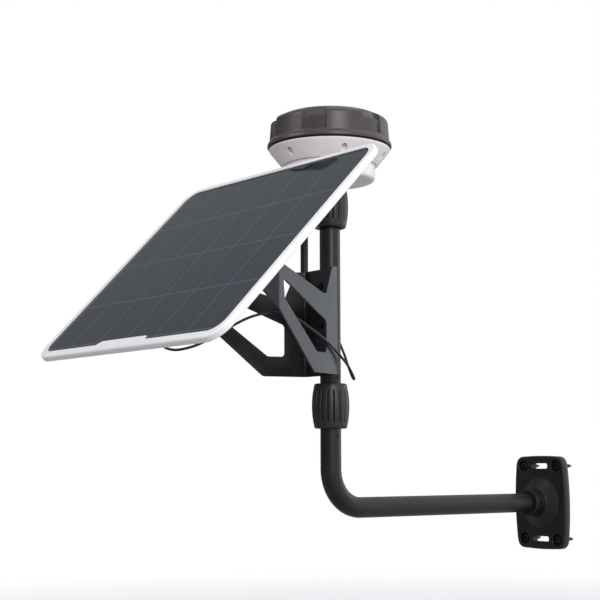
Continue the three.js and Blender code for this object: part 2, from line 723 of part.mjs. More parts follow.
/** L shaped lug: a foot on the rail and an ear that reaches down to the pivot. */
function hingeLug() {
  const foot = block(
    LUG_OUTER - RAIL.x + RAIL.width / 2 - 4,
    LUG.length,
    LUG.thickness,
    (LUG_OUTER + RAIL.x - RAIL.width / 2 + 4) / 2,
    -PIVOT_TO_CENTRE,
    RAIL_BOTTOM - GAP - LUG.thickness / 2,
  );
  const half = LUG.length / 2;
  const earTop = RAIL_BOTTOM - GAP;
  const ear = new THREE.Shape();
  ear.moveTo(-half, earTop);
  ear.lineTo(-half, earTop - 6);
  ear.lineTo(-LUG.endR, -PIVOT_TO_GLASS);
  ear.absarc(0, -PIVOT_TO_GLASS, LUG.endR, Math.PI, 2 * Math.PI);
  ear.lineTo(half, earTop - 6);
  ear.lineTo(half, earTop);
  ear.holes.push(new THREE.Path().absarc(0, -PIVOT_TO_GLASS, PIVOT_BOLT_R + GAP, 0, 2 * Math.PI));
  const wall = plate(ear, 0, LUG.thickness, 8)
    .rotateX(Math.PI / 2).rotateZ(Math.PI / 2)
    .translate(LUG_INNER, -PIVOT_TO_CENTRE, 0);
  return join(foot, wall);
}

function lugScrew(z) {
  return turned([
    [0, z],
    [2.4, z],
    [4, z + 1],
    [4, z + 2.2],
    [2, z + 2.2],
    [2, z + 5.5],
    [0, z + 5.5],
  ], 12);
}

const LUG_SCREW_Y = 18;
const LUG_SCREW_X = RAIL.x - 2;

function mirrored(geometry, side) {
  return side > 0 ? geometry : closed(geometry.scale(-1, 1, 1));
}

const drillLug = (geometry) => cut(geometry, ...[-1, 1].map((end) => (
  rod(2 + GAP, -FRAME_DEPTH - 20, -FRAME_DEPTH + 1, 12)
    .translate(LUG_SCREW_X, -PIVOT_TO_CENTRE + end * LUG_SCREW_Y, 0)
)));

add(panel, "panel_frame", panelFrame(), WHITE_FRAME);
add(panel, "glass_cover", laminate(GLASS_BOTTOM, -GAP), GLASS);
add(panel, "cell_sheet", laminate(CELLS_BOTTOM, GLASS_BOTTOM - GAP), CELLS);
add(panel, "back_sheet", laminate(BACK_BOTTOM, CELLS_BOTTOM - GAP), WHITE_PLASTIC);
for (const [side, name] of [[-1, "left"], [1, "right"]]) {
  const railMiddle = RAIL_BOTTOM + RAIL.thickness / 2;
  const rail = block(RAIL.width, SHEET_L + 5, RAIL.thickness, RAIL.x, 0, railMiddle);
  add(panel, `back_rail_${name}`, mirrored(drillLug(rail), side), STEEL);
  add(panel, `hinge_lug_${name}`, mirrored(drillLug(hingeLug()), side), STEEL);
  for (const [end, place] of [[-1, "lower"], [1, "upper"]]) {
    const seat = RAIL_BOTTOM - 2 * GAP - LUG.thickness - 2.2;
    const screw = lugScrew(seat).translate(LUG_SCREW_X, -PIVOT_TO_CENTRE + end * LUG_SCREW_Y, 0);
    add(panel, `lug_screw_${name}_${place}`, mirrored(screw, side), STEEL);
  }
}

function junctionBox() {
  const { width, length, height, wall, y } = JUNCTION_BOX;
  const top = BACK_BOTTOM - GAP;
  const body = plate(roundedRect(width, length, 4, 0, y), top - height, top, 3);
  const inside = roundedRect(width - 2 * wall, length - 2 * wall, 2, 0, y);
  const hollow = plate(inside, top - height - 1, top - wall, 3);
  return cut(body, hollow);
}

const BOX_BOTTOM = BACK_BOTTOM - GAP - JUNCTION_BOX.height;
const LID_BOTTOM = BOX_BOTTOM - GAP - 3;
const GLAND_TIP = LID_BOTTOM - GLAND_LENGTH;

function junctionBoxLid() {
  const { width, length, y } = JUNCTION_BOX;
  const lid = plate(roundedRect(width, length, 4, 0, y), LID_BOTTOM, BOX_BOTTOM - GAP, 3);
  return cut(lid, rod(GLAND_R - 1.5 + GAP, LID_BOTTOM - 1, BOX_BOTTOM + 1, 16).translate(0, y, 0));
}

function cableGland() {
  return turned([
    [CABLE_R + GAP, GLAND_TIP],
    [CABLE_R + 1.6, GLAND_TIP],
    [GLAND_R - 1.2, GLAND_TIP + 5],
    [GLAND_R, GLAND_TIP + 6],
    [GLAND_R, LID_BOTTOM - GAP],
    [GLAND_R - 1.5, LID_BOTTOM - GAP],
    [GLAND_R - 1.5, BOX_BOTTOM + 4],
    [CABLE_R + GAP, BOX_BOTTOM + 4],
  ], 20).translate(0, JUNCTION_BOX.y, 0);
}

add(panel, "junction_box", junctionBox(), BLACK_PLASTIC);
add(panel, "junction_box_lid", junctionBoxLid(), BLACK_PLASTIC);
add(panel, "cable_gland", cableGland(), BLACK_PLASTIC);

// ---------------------------------------------------------------- antenna head

const SPIGOT_BOTTOM = UPPER_COLLAR_Z + COLLAR_H - COLLET_Z + 1;

function baseCup() {
  const cup = turned([
    [TUBE_R + GAP, SPIGOT_BOTTOM],
    [SLEEVE_R, SPIGOT_BOTTOM],
    [SLEEVE_R, CUP_BOTTOM - 4],
    [SLEEVE_R + 6, CUP_BOTTOM],
    [CUP_R - 4.5, CUP_BOTTOM],
    [CUP_R - 1.3, CUP_BOTTOM + 1.4],
    [CUP_R, CUP_BOTTOM + 4.5],
    [CUP_R, CUP_TOP],
    [CUP_R - 3, CUP_TOP],
    [CUP_R - 3, CUP_BOTTOM + 4],
    [TUBE_R + GAP, CUP_BOTTOM + 4],
  ], 40);
  return cut(cup, rod(4 + GAP, CUP_BOTTOM - 2, CUP_BOTTOM + 6, 12).translate(WHIP.x, WHIP.y, 0));
}

const SCREW_RADIUS = HOUSING_R - 9.2;
const coneHeight = HOUSING_TOP - CUP_TOP;
const coneRun = HOUSING_R - HOUSING_FOOT_R;
const screwSeatZ = HOUSING_TOP - 4.5;

/** Carries a geometry to each screw's place, under the middle of each lobe. */
function aroundHead(index, geometry) {
  return geometry.rotateZ(rad(FIRST_RECESS + (index + 0.5) * 360 / LOBES));
}

/** Shallow cone between the cup and the cap, with a pocket for each screw. */
function lowerHousing() {
  const foot = CUP_TOP + GAP;
  const shell = turned([
    [CUP_R - 3, foot],
    [HOUSING_FOOT_R, foot],
    [HOUSING_R - 1, HOUSING_TOP - 3],
    [HOUSING_R, HOUSING_TOP - 1.5],
    [HOUSING_R, HOUSING_TOP],
    [CUP_R - 3, HOUSING_TOP],
  ], HEAD_SIDES);
  const hollow = turned([
    [0, foot + 3],
    [HOUSING_FOOT_R - 5, foot + 3],
    [HOUSING_R - 14, HOUSING_TOP + 1],
    [0, HOUSING_TOP + 1],
  ], 36);
  const cuts = [];
  for (let i = 0; i < LOBES; i++) {
    cuts.push(aroundHead(i, rod(4.2, foot - 5, screwSeatZ, 10).translate(SCREW_RADIUS, 0, 0)));
    cuts.push(aroundHead(i, rod(1.6 + GAP, foot, HOUSING_TOP + 1, 8).translate(SCREW_RADIUS, 0, 0)));
  }
  return cut(shell, hollow, ...cuts);
}

const CAP_LEDGE = CAP_BOTTOM + 9.4;
const RECESS_TOP = CAP_SHOULDER - 5.6;

/** Sector shaped tool that sinks one recess into the cap's side. */
function recessTool(angle) {
  const inner = CAP_R - RECESS_DEPTH;
  const half = rad(RECESS_ANGLE / 2);
  const sector = new THREE.Shape();
  sector.absarc(0, 0, CAP_R + 12, -half, half, false);
  sector.absarc(0, 0, inner, half, -half, true);
  const upright = plate(sector, CAP_LEDGE, RECESS_TOP, 4);
  const slope = turned([
    [inner, RECESS_TOP - 0.01],
    [CAP_R + 12, RECESS_TOP - 0.01],
    [CAP_R + 12, CAP_TOP + 6],
    [inner - 12, CAP_TOP - 4],
  ], HEAD_SIDES);
  const wide = new THREE.Shape();
  wide.absarc(0, 0, CAP_R + 14, -half, half, false);
  wide.lineTo(0, 0);
  const slopeSector = overlap(slope, plate(wide, RECESS_TOP - 1, CAP_TOP + 8, 4));
  return [upright, slopeSector].map((tool) => tool.rotateZ(rad(angle)));
}

function headCap() {
  const outside = [
    [CAP_RIM_R, CAP_BOTTOM],
    [CAP_RIM_R - 0.7, CAP_BOTTOM + 3.5],
    [CAP_R + 0.8, CAP_BOTTOM + 8],
    [CAP_R, CAP_LEDGE + 3],
    [CAP_R - 1.5, CAP_SHOULDER],
    [CAP_R - 4, CAP_SHOULDER + 4],
    [CAP_R - 15, CAP_SHOULDER + 9],
    [CAP_R / 2, CAP_TOP - 1.5],
    [0, CAP_TOP],
  ];
  const inside = [
    [0, CAP_TOP - CAP_WALL],
    [CAP_R / 2, CAP_TOP - 1.5 - CAP_WALL],
    [CAP_R - 22, CAP_SHOULDER + 9 - CAP_WALL],
    [CAP_R - RECESS_DEPTH - CAP_WALL - 4, CAP_SHOULDER - 6],
    [CAP_R - RECESS_DEPTH - CAP_WALL, CAP_LEDGE + 3],
    [CAP_R - RECESS_DEPTH - CAP_WALL, CAP_BOTTOM],
  ];
  const shell = closed(new THREE.LatheGeometry(
    [...outside, ...inside, outside[0]].map(([r, z]) => new THREE.Vector2(r, z)),
    HEAD_SIDES,
  ).rotateX(Math.PI / 2));
  const tools = [];
  for (let i = 0; i < LOBES; i++) {
    tools.push(...recessTool(FIRST_RECESS + i * 360 / LOBES));
  }
  return cut(shell, ...tools);
}

add(mast, "base_cup", baseCup(), WHITE_PLASTIC);
add(mast, "lower_housing", lowerHousing(), WHITE_PLASTIC);
add(
  mast,
  "head_gasket",
  ring(CAP_R - 9, HOUSING_R - 0.6, HOUSING_TOP + GAP, CAP_BOTTOM - GAP, 48),
  RUBBER,
);
add(mast, "head_cap", headCap(), CAP_PLASTIC);
for (let i = 0; i < LOBES; i++) {
  const screw = turned([
    [0, screwSeatZ - 2.6],
    [2.4, screwSeatZ - 2.6],
    [3, screwSeatZ - 1.8],
    [3, screwSeatZ - GAP],
    [1.6, screwSeatZ - GAP],
    [1.6, HOUSING_TOP - 0.2],
    [0, HOUSING_TOP - 0.2],
  ], 8).translate(SCREW_RADIUS, 0, 0);
  add(mast, `housing_screw_${i + 1}`, aroundHead(i, screw), STEEL);
}

const BOARD_Z = CAP_BOTTOM + 6.4;
const PLANE_Z = BOARD_Z + 16;
const BATTERY_PACK = { width: 2 * CUP_R - 47.2, depth: 2 * CUP_R - 61.2 };
function batteryPack() {
  const { width, depth } = BATTERY_PACK;
  return plate(roundedRect(width, depth, 6), CUP_BOTTOM + 5, HOUSING_TOP - 6, 3);
}

add(mast, "battery_pack", batteryPack(), BATTERY);
add(mast, "main_board", rod(CAP_R - 20, BOARD_Z, BOARD_Z + 1.6, 36), BOARD);
add(mast, "ground_plane", rod(CAP_R - 16, PLANE_Z, PLANE_Z + 1.5, 36), STEEL);
add(mast, "patch_element", plate(roundedRect(42, 42, 3), PLANE_Z + 1.8, PLANE_Z + 9, 2), CERAMIC);

add(
  mast,
  "whip_connector",
  join(
    rod(WHIP.nutR, CUP_BOTTOM - GAP - WHIP.nutH, CUP_BOTTOM - GAP, 12),
    rod(4, CUP_BOTTOM - 2, CUP_BOTTOM + 10, 12),
  ).translate(WHIP.x, WHIP.y, 0),
  STEEL,
);
const whipTop = CUP_BOTTOM - WHIP.nutH - 2 * GAP;
const whipBottom = whipTop - WHIP.length;
add(
  mast,
  "whip_antenna",
  turned([
    [0, whipBottom],
    [WHIP.r * 0.6, whipBottom],
    [WHIP.r - 0.6, whipBottom + 2],
    [WHIP.r - 0.3, whipBottom + 6],
    [WHIP.r, whipTop - 30],
    [WHIP.r + 0.8, whipTop - 24],
    [WHIP.r + 0.8, whipTop],
    [0, whipTop],
  ], 16).translate(WHIP.x, WHIP.y, 0),
  BLACK_PLASTIC,
);

// ---------------------------------------------------------------- panel cable

/** Hand placed route on the mast, from the gland over the right cheek and round the mast to the grommet. */
const CABLE_ROUTE = [
  [0, -274.3, 78.8],
  [0.3, -271.0, 75.6],
  [1.2, -265.5, 72.4],
  [4, -255.5, 70.6],
  [9, -243, 72.6],
  [16, -229, 77.8],
  [26, -209, 89.5],
  [37, -189.5, 102.8],
  [46, -174, 112],
  [54, -158, 117.6],
  [61, -141, 119.4],
  [64.6, -125, 118],
  [64.4, -112, 114.6],
  [62.4, -99, 109.6],
  [59.0, -82, 102.8],
  [54.0, -64, 96],
  [48.0, -46.5, 89],
  [42.6, -30, 81],
  [38.4, -14, 71.5],
  [36.0, -1, 61.5],
  [33.6, 8.5, 51.8],
  [29.6, 16.0, 45.4],
  [23.4, 21.4, 43.8],
  [16.0, 25.0, 47.6],
  [9.0, 27.0, 56],
  [2.5, 28.0, 67],
  [-4.0, 28.6, 79],
  [-10.4, 28.4, 90.5],
  [-14.5, 27.4, 100],
  [-13.7, 25.8, 106.5],
  [-11.5, 21.6, 111.3],
  [-8.65, 16.3, 113],
];

function panelCable() {
  const points = CABLE_ROUTE.map((p) => new THREE.Vector3(...p));
  const curve = new THREE.CatmullRomCurve3(points, false, "centripetal");
  const steps = 60;
  const stations = [];
  for (let i = 0; i <= steps; i++) {
    stations.push([curve.getPointAt(i / steps), curve.getTangentAt(i / steps)]);
  }
  return swept(stations, CABLE_R, 4);
}

add(mast, "panel_cable", panelCable(), RUBBER);

export default group;
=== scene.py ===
import json
import math

import bmesh
import bpy
from mathutils import Matrix, Quaternion, Vector

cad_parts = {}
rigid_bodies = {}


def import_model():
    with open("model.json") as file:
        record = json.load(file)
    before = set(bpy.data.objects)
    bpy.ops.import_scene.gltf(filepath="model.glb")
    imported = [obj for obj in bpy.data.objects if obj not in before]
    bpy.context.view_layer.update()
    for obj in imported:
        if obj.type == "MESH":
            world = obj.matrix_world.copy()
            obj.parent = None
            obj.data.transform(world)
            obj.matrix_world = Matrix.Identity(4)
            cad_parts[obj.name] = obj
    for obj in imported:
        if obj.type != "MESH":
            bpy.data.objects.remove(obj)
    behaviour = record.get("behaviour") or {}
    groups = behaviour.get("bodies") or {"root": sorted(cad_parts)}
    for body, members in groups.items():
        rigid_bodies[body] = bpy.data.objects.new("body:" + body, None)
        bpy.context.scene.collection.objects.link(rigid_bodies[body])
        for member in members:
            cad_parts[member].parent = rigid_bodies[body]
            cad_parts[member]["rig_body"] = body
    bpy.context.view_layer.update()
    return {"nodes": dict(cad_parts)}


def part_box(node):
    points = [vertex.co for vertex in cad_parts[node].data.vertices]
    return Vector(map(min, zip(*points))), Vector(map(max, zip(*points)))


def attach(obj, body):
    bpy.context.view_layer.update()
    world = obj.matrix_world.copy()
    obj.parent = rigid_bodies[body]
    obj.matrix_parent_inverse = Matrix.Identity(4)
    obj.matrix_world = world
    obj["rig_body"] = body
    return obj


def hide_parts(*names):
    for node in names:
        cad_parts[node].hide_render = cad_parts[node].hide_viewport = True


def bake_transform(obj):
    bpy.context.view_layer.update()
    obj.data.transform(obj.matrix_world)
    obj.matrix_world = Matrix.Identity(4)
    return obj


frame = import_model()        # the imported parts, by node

# Looks of a solar powered positioning antenna on an L shaped wall arm.
# Shapes are worked out in millimetres and scaled to metres when a piece is finished.

MM = 0.001
GAP = 0.3  # clearance between neighbouring pieces


def box(node):
    """Lowest and highest corner of a part of the frame, in millimetres."""
    return tuple(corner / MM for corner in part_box(node))


def middle_of(node):
    low, high = box(node)
    return (low + high) / 2


# ------------------------------------------------------------------ places from the frame

arm_low, arm_high = box("arm_tube")
mast_low, mast_high = box("mast_tube")
TUBE_R = arm_high.x
TUBE_WALL = 2
ARM_TOP = arm_high.z
ARM_START = arm_high.y
ARM_BEND_R = 52
MAST_Y = arm_low.y + TUBE_R
MAST_BOTTOM = mast_low.z
MAST_TOP = mast_high.z
BRACKET_Z = box("panel_bracket")[0].z
PANEL_TILT = 45.7
GLASS_T = 3.2
TO_MAST = Matrix.Translation((0, MAST_Y, 0))
TO_PANEL = (
    Matrix.Translation(middle_of("glass_cover"))
    @ Matrix.Rotation(math.radians(PANEL_TILT), 4, "X")
    @ Matrix.Translation((0, 0, GAP + GLASS_T / 2))
)

# ------------------------------------------------------------------ camera

CAMERA_PLACE = (1.3994, -1.6241, 0.0593)
CAMERA_AZIMUTH = 50.8
CAMERA_RISE = 6.84
CAMERA_ROLL = -0.12
CAMERA_LENS = 81.84


def add_camera():
    camera = bpy.data.objects.new("Camera", bpy.data.cameras.new("Camera"))
    bpy.context.scene.collection.objects.link(camera)
    camera.data.lens = CAMERA_LENS
    camera.data.sensor_width = 36
    camera.data.clip_start = 0.05
    camera.data.clip_end = 60
    azimuth, rise = math.radians(CAMERA_AZIMUTH), math.radians(CAMERA_RISE)
    ahead = Vector((
        -math.sin(azimuth) * math.cos(rise),
        math.cos(azimuth) * math.cos(rise),
        math.sin(rise),
    ))
    camera.rotation_mode = "QUATERNION"
    level = ahead.to_track_quat("-Z", "Y")
    camera.rotation_quaternion = level @ Quaternion((0, 0, 1), math.radians(CAMERA_ROLL))
    camera.location = CAMERA_PLACE
    bpy.context.scene.camera = camera


add_camera()

# ------------------------------------------------------------------ finishes


def srgb(red, green, blue):
    """A colour of a paint chart, 0 to 255, as linear light."""
    def linear(value):
        value /= 255
        return value / 12.92 if value <= 0.04045 else ((value + 0.055) / 1.055) ** 2.4
    return (linear(red), linear(green), linear(blue), 1)


class Finish:
    """A procedural material on Object coordinates, and the record's slot that it belongs to."""

    def __init__(self, name, slot, metallic=0.0, specular=0.5):
        self.material = bpy.data.materials.new(name)
        self.material.use_nodes = True
        self.slot = slot
        self.tree = self.material.node_tree
        self.shader = self.tree.nodes["Principled BSDF"]
        self.shader.inputs["Metallic"].default_value = metallic
        self.shader.inputs["Specular IOR Level"].default_value = specular

    def node(self, kind, **settings):
        made = self.tree.nodes.new(kind)
        for key, value in settings.items():
            setattr(made, key, value)
        return made

    def link(self, output, socket):
        self.tree.links.new(output, socket)

    def place(self, stretch=(1, 1, 1), location=(0, 0, 0), rotation=(0, 0, 0), kind="POINT"):
        """Object coordinates, moved, turned or stretched by a Mapping node."""
        coordinates = self.node("ShaderNodeTexCoord")
        mapping = self.node("ShaderNodeMapping", vector_type=kind)
        self.link(coordinates.outputs["Object"], mapping.inputs["Vector"])
        mapping.inputs["Location"].default_value = location
        mapping.inputs["Rotation"].default_value = rotation
        mapping.inputs["Scale"].default_value = stretch
        return mapping.outputs["Vector"]

    def noise(self, vector, size, detail=2.0):
        """Cloudy noise whose grains are about size millimetres across."""
        noise = self.node("ShaderNodeTexNoise")
        self.link(vector, noise.inputs["Vector"])
        noise.inputs["Scale"].default_value = 1 / (size * MM)
        noise.inputs["Detail"].default_value = detail
        return noise.outputs["Fac"]

    def remap(self, value, low, high, start=0.3, end=0.7):
        """Spreads start..end of a value over low..high."""
        span = self.node("ShaderNodeMapRange", clamp=True)
        self.link(value, span.inputs["Value"])
        for key, number in zip(("From Min", "From Max", "To Min", "To Max"), (start, end, low, high)):
            span.inputs[key].default_value = number
        return span.outputs["Result"]

    def math(self, operation, first, second=0.0):
        step = self.node("ShaderNodeMath", operation=operation)
        for socket, value in zip(step.inputs, (first, second)):
            if isinstance(value, (int, float)):
                socket.default_value = value
            else:
                self.link(value, socket)
        return step.outputs["Value"]

    def mix(self, factor, first, second, blend="MIX"):
        """Mixes two colours, each a colour or a socket."""
        mix = self.node("ShaderNodeMix", data_type="RGBA", blend_type=blend)
        sockets = (mix.inputs[0], mix.inputs[6], mix.inputs[7])
        for socket, value in zip(sockets, (factor, first, second)):
            if isinstance(value, (int, float, tuple)):
                socket.default_value = value
            else:
                self.link(value, socket)
        return mix.outputs[2]

    def colour(self, value):
        self.link(value, self.shader.inputs["Base Color"])

    def roughness(self, value):
        self.link(value, self.shader.inputs["Roughness"])

    def roughness_about(self, middle, broad, spread, narrow, fine):
        """Roughness that one noise moves by up to spread about a middle value, and another by up to fine."""
        wide = self.remap(broad, middle - spread, middle + spread)
        self.roughness(self.math("ADD", wide, self.remap(narrow, -fine, fine)))

    def bump(self, height, depth, strength=1.0, under=None):
        """Raises the surface by up to depth millimetres of height."""
        bump = self.node("ShaderNodeBump")
        self.link(height, bump.inputs["Height"])
        bump.inputs["Distance"].default_value = depth * MM
        bump.inputs["Strength"].default_value = strength
        if under:
            self.link(under, bump.inputs["Normal"])
        self.link(bump.outputs["Normal"], self.shader.inputs["Normal"])
        return bump.outputs["Normal"]


def powder_coat(name, slot, dark, light, rough):
    """Baked powder paint: fine orange peel, and faint clouds where the coat is thicker."""
    paint = Finish(name, slot, specular=0.38)
    place = paint.place()
    clouds = paint.noise(place, 34, 3)
    peel = paint.noise(place, 1.3, 2)
    speck = paint.noise(place, 0.5, 1)
    paint.colour(paint.mix(paint.remap(clouds, 0, 1), dark, light))
    paint.roughness_about(rough, clouds, 0.04, speck, 0.03)
    paint.bump(speck, 0.02, 0.25, under=paint.bump(peel, 0.05, 0.35))
    return paint


def moulded(name, slot, dark, light, rough, grain=0.6, depth=0.05, specular=0.5):
    """Moulded plastic with a spark eroded grain and faint flow marks along its height."""
    plastic = Finish(name, slot, specular=specular)
    place = plastic.place()
    flow = plastic.noise(plastic.place(stretch=(1, 1, 0.25)), 26, 3)
    grains = plastic.noise(place, grain, 3)
    tint = plastic.mix(plastic.remap(flow, 0, 1), dark, light)
    plastic.colour(plastic.mix(plastic.remap(grains, 0, 0.12), tint, light))
    plastic.roughness_about(rough, flow, 0.05, grains, 0.04)
    plastic.bump(grains, depth, 0.4)
    return plastic


def metal(name, slot, dark, light, rough, stretch=(1, 1, 1), size=0.9):
    """Plated or mill finished metal, its grain drawn out where stretch is small."""
    plate = Finish(name, slot, metallic=1.0)
    stain = plate.noise(plate.place(), 18, 3)
    grain = plate.noise(plate.place(stretch=stretch), size, 3)
    plate.colour(plate.mix(plate.remap(stain, 0, 1), dark, light))
    plate.roughness_about(rough, grain, 0.06, stain, 0.045)
    plate.bump(grain, 0.01, 0.15)
    return plate


CELL_PITCH = (65.3, 82.0)  # across and up the panel
CELL_OFFSET = (-1.7, 2.4)
CELL_GAP = 1.6
BUSBARS = 3
BUSBAR_W = 0.7
FINGER_PITCH = 2.2
FINGER_W = 0.5


def lines(finish, coordinate, pitch, offset, width):
    """1 on evenly spaced lines of the given width, else 0, with soft edges."""
    turns = finish.math("DIVIDE", finish.math("SUBTRACT", coordinate, offset * MM), pitch * MM)
    fraction = finish.math("FRACT", finish.math("ADD", turns, 0.5))
    away = finish.math("ABSOLUTE", finish.math("SUBTRACT", fraction, 0.5))
    half = width / 2 / pitch
    return finish.remap(away, 1, 0, half * 0.8, half * 1.2)


def cells_under_glass(name, slot, dark, light, green, violet, line, bar, rough, specular):
    """Dark cells with their gaps and busbars, in the panel's own directions."""
    cells = Finish(name, slot, specular=specular)
    place = cells.place(
        location=TO_PANEL.translation * MM,
        rotation=(math.radians(PANEL_TILT), 0, 0),
        kind="TEXTURE",
    )
    split = cells.node("ShaderNodeSeparateXYZ")
    cells.link(place, split.inputs["Vector"])
    across, up = split.outputs["X"], split.outputs["Y"]
    gaps = cells.math(
        "MAXIMUM",
        lines(cells, across, CELL_PITCH[0], CELL_OFFSET[0], CELL_GAP),
        lines(cells, up, CELL_PITCH[1], CELL_OFFSET[1], CELL_GAP),
    )
    bars = lines(cells, across, CELL_PITCH[0] / BUSBARS, CELL_OFFSET[0], BUSBAR_W)
    fingers = lines(cells, up, FINGER_PITCH, 0, FINGER_W)
    bloom = cells.noise(place, 95, 2)
    streak = cells.noise(cells.place(stretch=(1, 0.2, 0.2)), 9, 3)
    tone = cells.mix(cells.remap(bloom, 0, 1, 0.35, 0.65), dark, light)
    tone = cells.mix(cells.remap(streak, 0, 0.25), tone, light)
    film = cells.noise(cells.place(location=(0.3, 0.1, 0)), 70, 3)
    tone = cells.mix(cells.remap(film, 0, 0.35, 0.52, 0.68), tone, green)
    tone = cells.mix(cells.remap(film, 0.3, 0, 0.32, 0.46), tone, violet)
    tone = cells.mix(cells.math("MULTIPLY", fingers, 0.06), tone, bar)
    tone = cells.mix(cells.math("MULTIPLY", bars, 0.3), tone, bar)
    cells.colour(cells.mix(cells.math("MULTIPLY", gaps, 0.85), tone, line))
    cells.roughness(cells.remap(cells.noise(place, 3, 2), rough, rough + 0.03))
    cells.bump(cells.noise(place, 60, 1), 0.05, 0.15)
    return cells


def sheathing(name, slot, dark, light, rough):
    """Rubber or cable sheath: fine matt grain with a little bloom on it."""
    rubber = Finish(name, slot, specular=0.4)
    bloom = rubber.noise(rubber.place(), 12, 3)
    grain = rubber.noise(rubber.place(), 0.5, 2)
    rubber.colour(rubber.mix(rubber.remap(bloom, 0, 1), dark, light))
    rubber.roughness_about(rough, bloom, 0.06, grain, 0.04)
    rubber.bump(grain, 0.04, 0.35)
    return rubber


TRACK_PITCH = 6


def printed_board():
    """Solder mask with copper tracks showing through as lighter lines."""
    board = Finish("circuit_board", "circuit_board", specular=0.5)
    tracks = board.node("ShaderNodeTexVoronoi", feature="DISTANCE_TO_EDGE", distance="CHEBYCHEV")
    board.link(board.place(), tracks.inputs["Vector"])
    tracks.inputs["Scale"].default_value = 1 / (TRACK_PITCH * MM)
    edge = board.remap(tracks.outputs["Distance"], 1, 0, 0.04, 0.09)
    board.colour(board.mix(edge, srgb(18, 82, 48), srgb(46, 122, 74)))
    board.roughness(board.remap(board.noise(board.place(), 3), 0.3, 0.45))
    board.bump(edge, 0.04, 0.6)
    return board


BLACK_PAINT = powder_coat("powder_coat_black", "powder_coat_black", srgb(23, 18, 19), srgb(31, 26, 27), 0.34)
SHEET_PAINT = powder_coat("powder_coat_grey", "powder_coat_grey", srgb(24, 24, 27), srgb(31, 32, 36), 0.26)
NUT_PLASTIC = moulded("nut_plastic", "nut_plastic", srgb(24, 18, 17), srgb(36, 28, 27), 0.38)
WHIP_PLASTIC = moulded("whip_plastic", "nut_plastic", srgb(15, 14, 15), srgb(22, 21, 22), 0.42, 0.4, 0.02)
CAP_PLASTIC = moulded("cap_plastic", "cap_plastic", srgb(60, 53, 54), srgb(70, 62, 63), 0.34, 0.5, 0.04)
WHITE_PLASTIC = moulded(
    "housing_plastic", "housing_plastic", srgb(236, 226, 225), srgb(243, 235, 233), 0.38, 0.5, 0.02
)
FRAME_PAINT = powder_coat("panel_frame_paint", "panel_frame", srgb(242, 241, 241), srgb(248, 247, 247), 0.36)
PANEL_GLASS = cells_under_glass(
    "panel_glass", "panel_glass",
    dark=srgb(18, 28, 34), light=srgb(24, 28, 42), green=srgb(20, 46, 36), violet=srgb(36, 28, 54),
    line=srgb(80, 85, 94), bar=srgb(70, 76, 86), rough=0.05, specular=0.4,
)
SOLAR_CELLS = cells_under_glass(
    "solar_cells", "solar_cells",
    dark=srgb(22, 28, 40), light=srgb(28, 33, 48), green=srgb(24, 42, 40), violet=srgb(36, 30, 56),
    line=srgb(190, 192, 194), bar=srgb(170, 172, 176), rough=0.35, specular=0.5,
)
WHITE_SHEET = moulded("white_sheet", "white_sheet", srgb(222, 222, 220), srgb(232, 232, 230), 0.55, 0.9, 0.03)
RUBBER = sheathing("rubber", "rubber", srgb(22, 22, 23), srgb(34, 33, 34), 0.62)
CABLE_SHEATH = sheathing("cable_sheath", "rubber", srgb(16, 16, 17), srgb(26, 25, 26), 0.4)
STEEL = metal("steel", "steel", srgb(168, 170, 172), srgb(192, 193, 194), 0.335)
BLACK_STEEL = metal("black_steel", "steel", srgb(44, 43, 44), srgb(60, 58, 58), 0.435)
RAIL_ALUMINIUM = metal(
    "rail_aluminium", "rail_aluminium", srgb(186, 188, 190), srgb(204, 205, 206), 0.375,
    stretch=(1, 0.04, 0.04), size=1.4,
)
BOARD = printed_board()
CERAMIC = moulded("ceramic", "ceramic", srgb(196, 186, 158), srgb(212, 203, 178), 0.6, 0.4, 0.03)
BATTERY_WRAP = moulded("battery", "battery", srgb(40, 74, 142), srgb(54, 90, 160), 0.34, 2.4, 0.12)

# ------------------------------------------------------------------ shaping


def piece(node, bm, finish, place=None, bevel=0.0, thickness=0.0, smooth=32):
    """Finishes a shape in millimetres as the piece that stands for a part of the frame."""
    bmesh.ops.remove_doubles(bm, verts=bm.verts, dist=0.001)
    bmesh.ops.recalc_face_normals(bm, faces=bm.faces)
    if place:
        bmesh.ops.transform(bm, matrix=place, verts=bm.verts)
    bmesh.ops.scale(bm, vec=(MM, MM, MM), verts=bm.verts)
    made = bpy.data.objects.new(f"{node}_finished", bpy.data.meshes.new(node))
    bm.to_mesh(made.data)
    bm.free()
    bpy.context.scene.collection.objects.link(made)
    made.data.shade_smooth()
    made.data.set_sharp_from_angle(angle=math.radians(smooth))
    made.data.materials.append(finish.material)
    if thickness:
        shell = made.modifiers.new("Sheet", "SOLIDIFY")
        shell.thickness = thickness * MM
        shell.offset = 0
        shell.use_even_offset = True
    if bevel:
        edges = made.modifiers.new("Edges", "BEVEL")
        edges.width = bevel * MM
        edges.segments = 2
        edges.limit_method = "ANGLE"
        edges.angle_limit = math.radians(40)
        edges.harden_normals = True
    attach(made, frame["nodes"][node]["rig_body"])
    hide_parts(node)
    return made


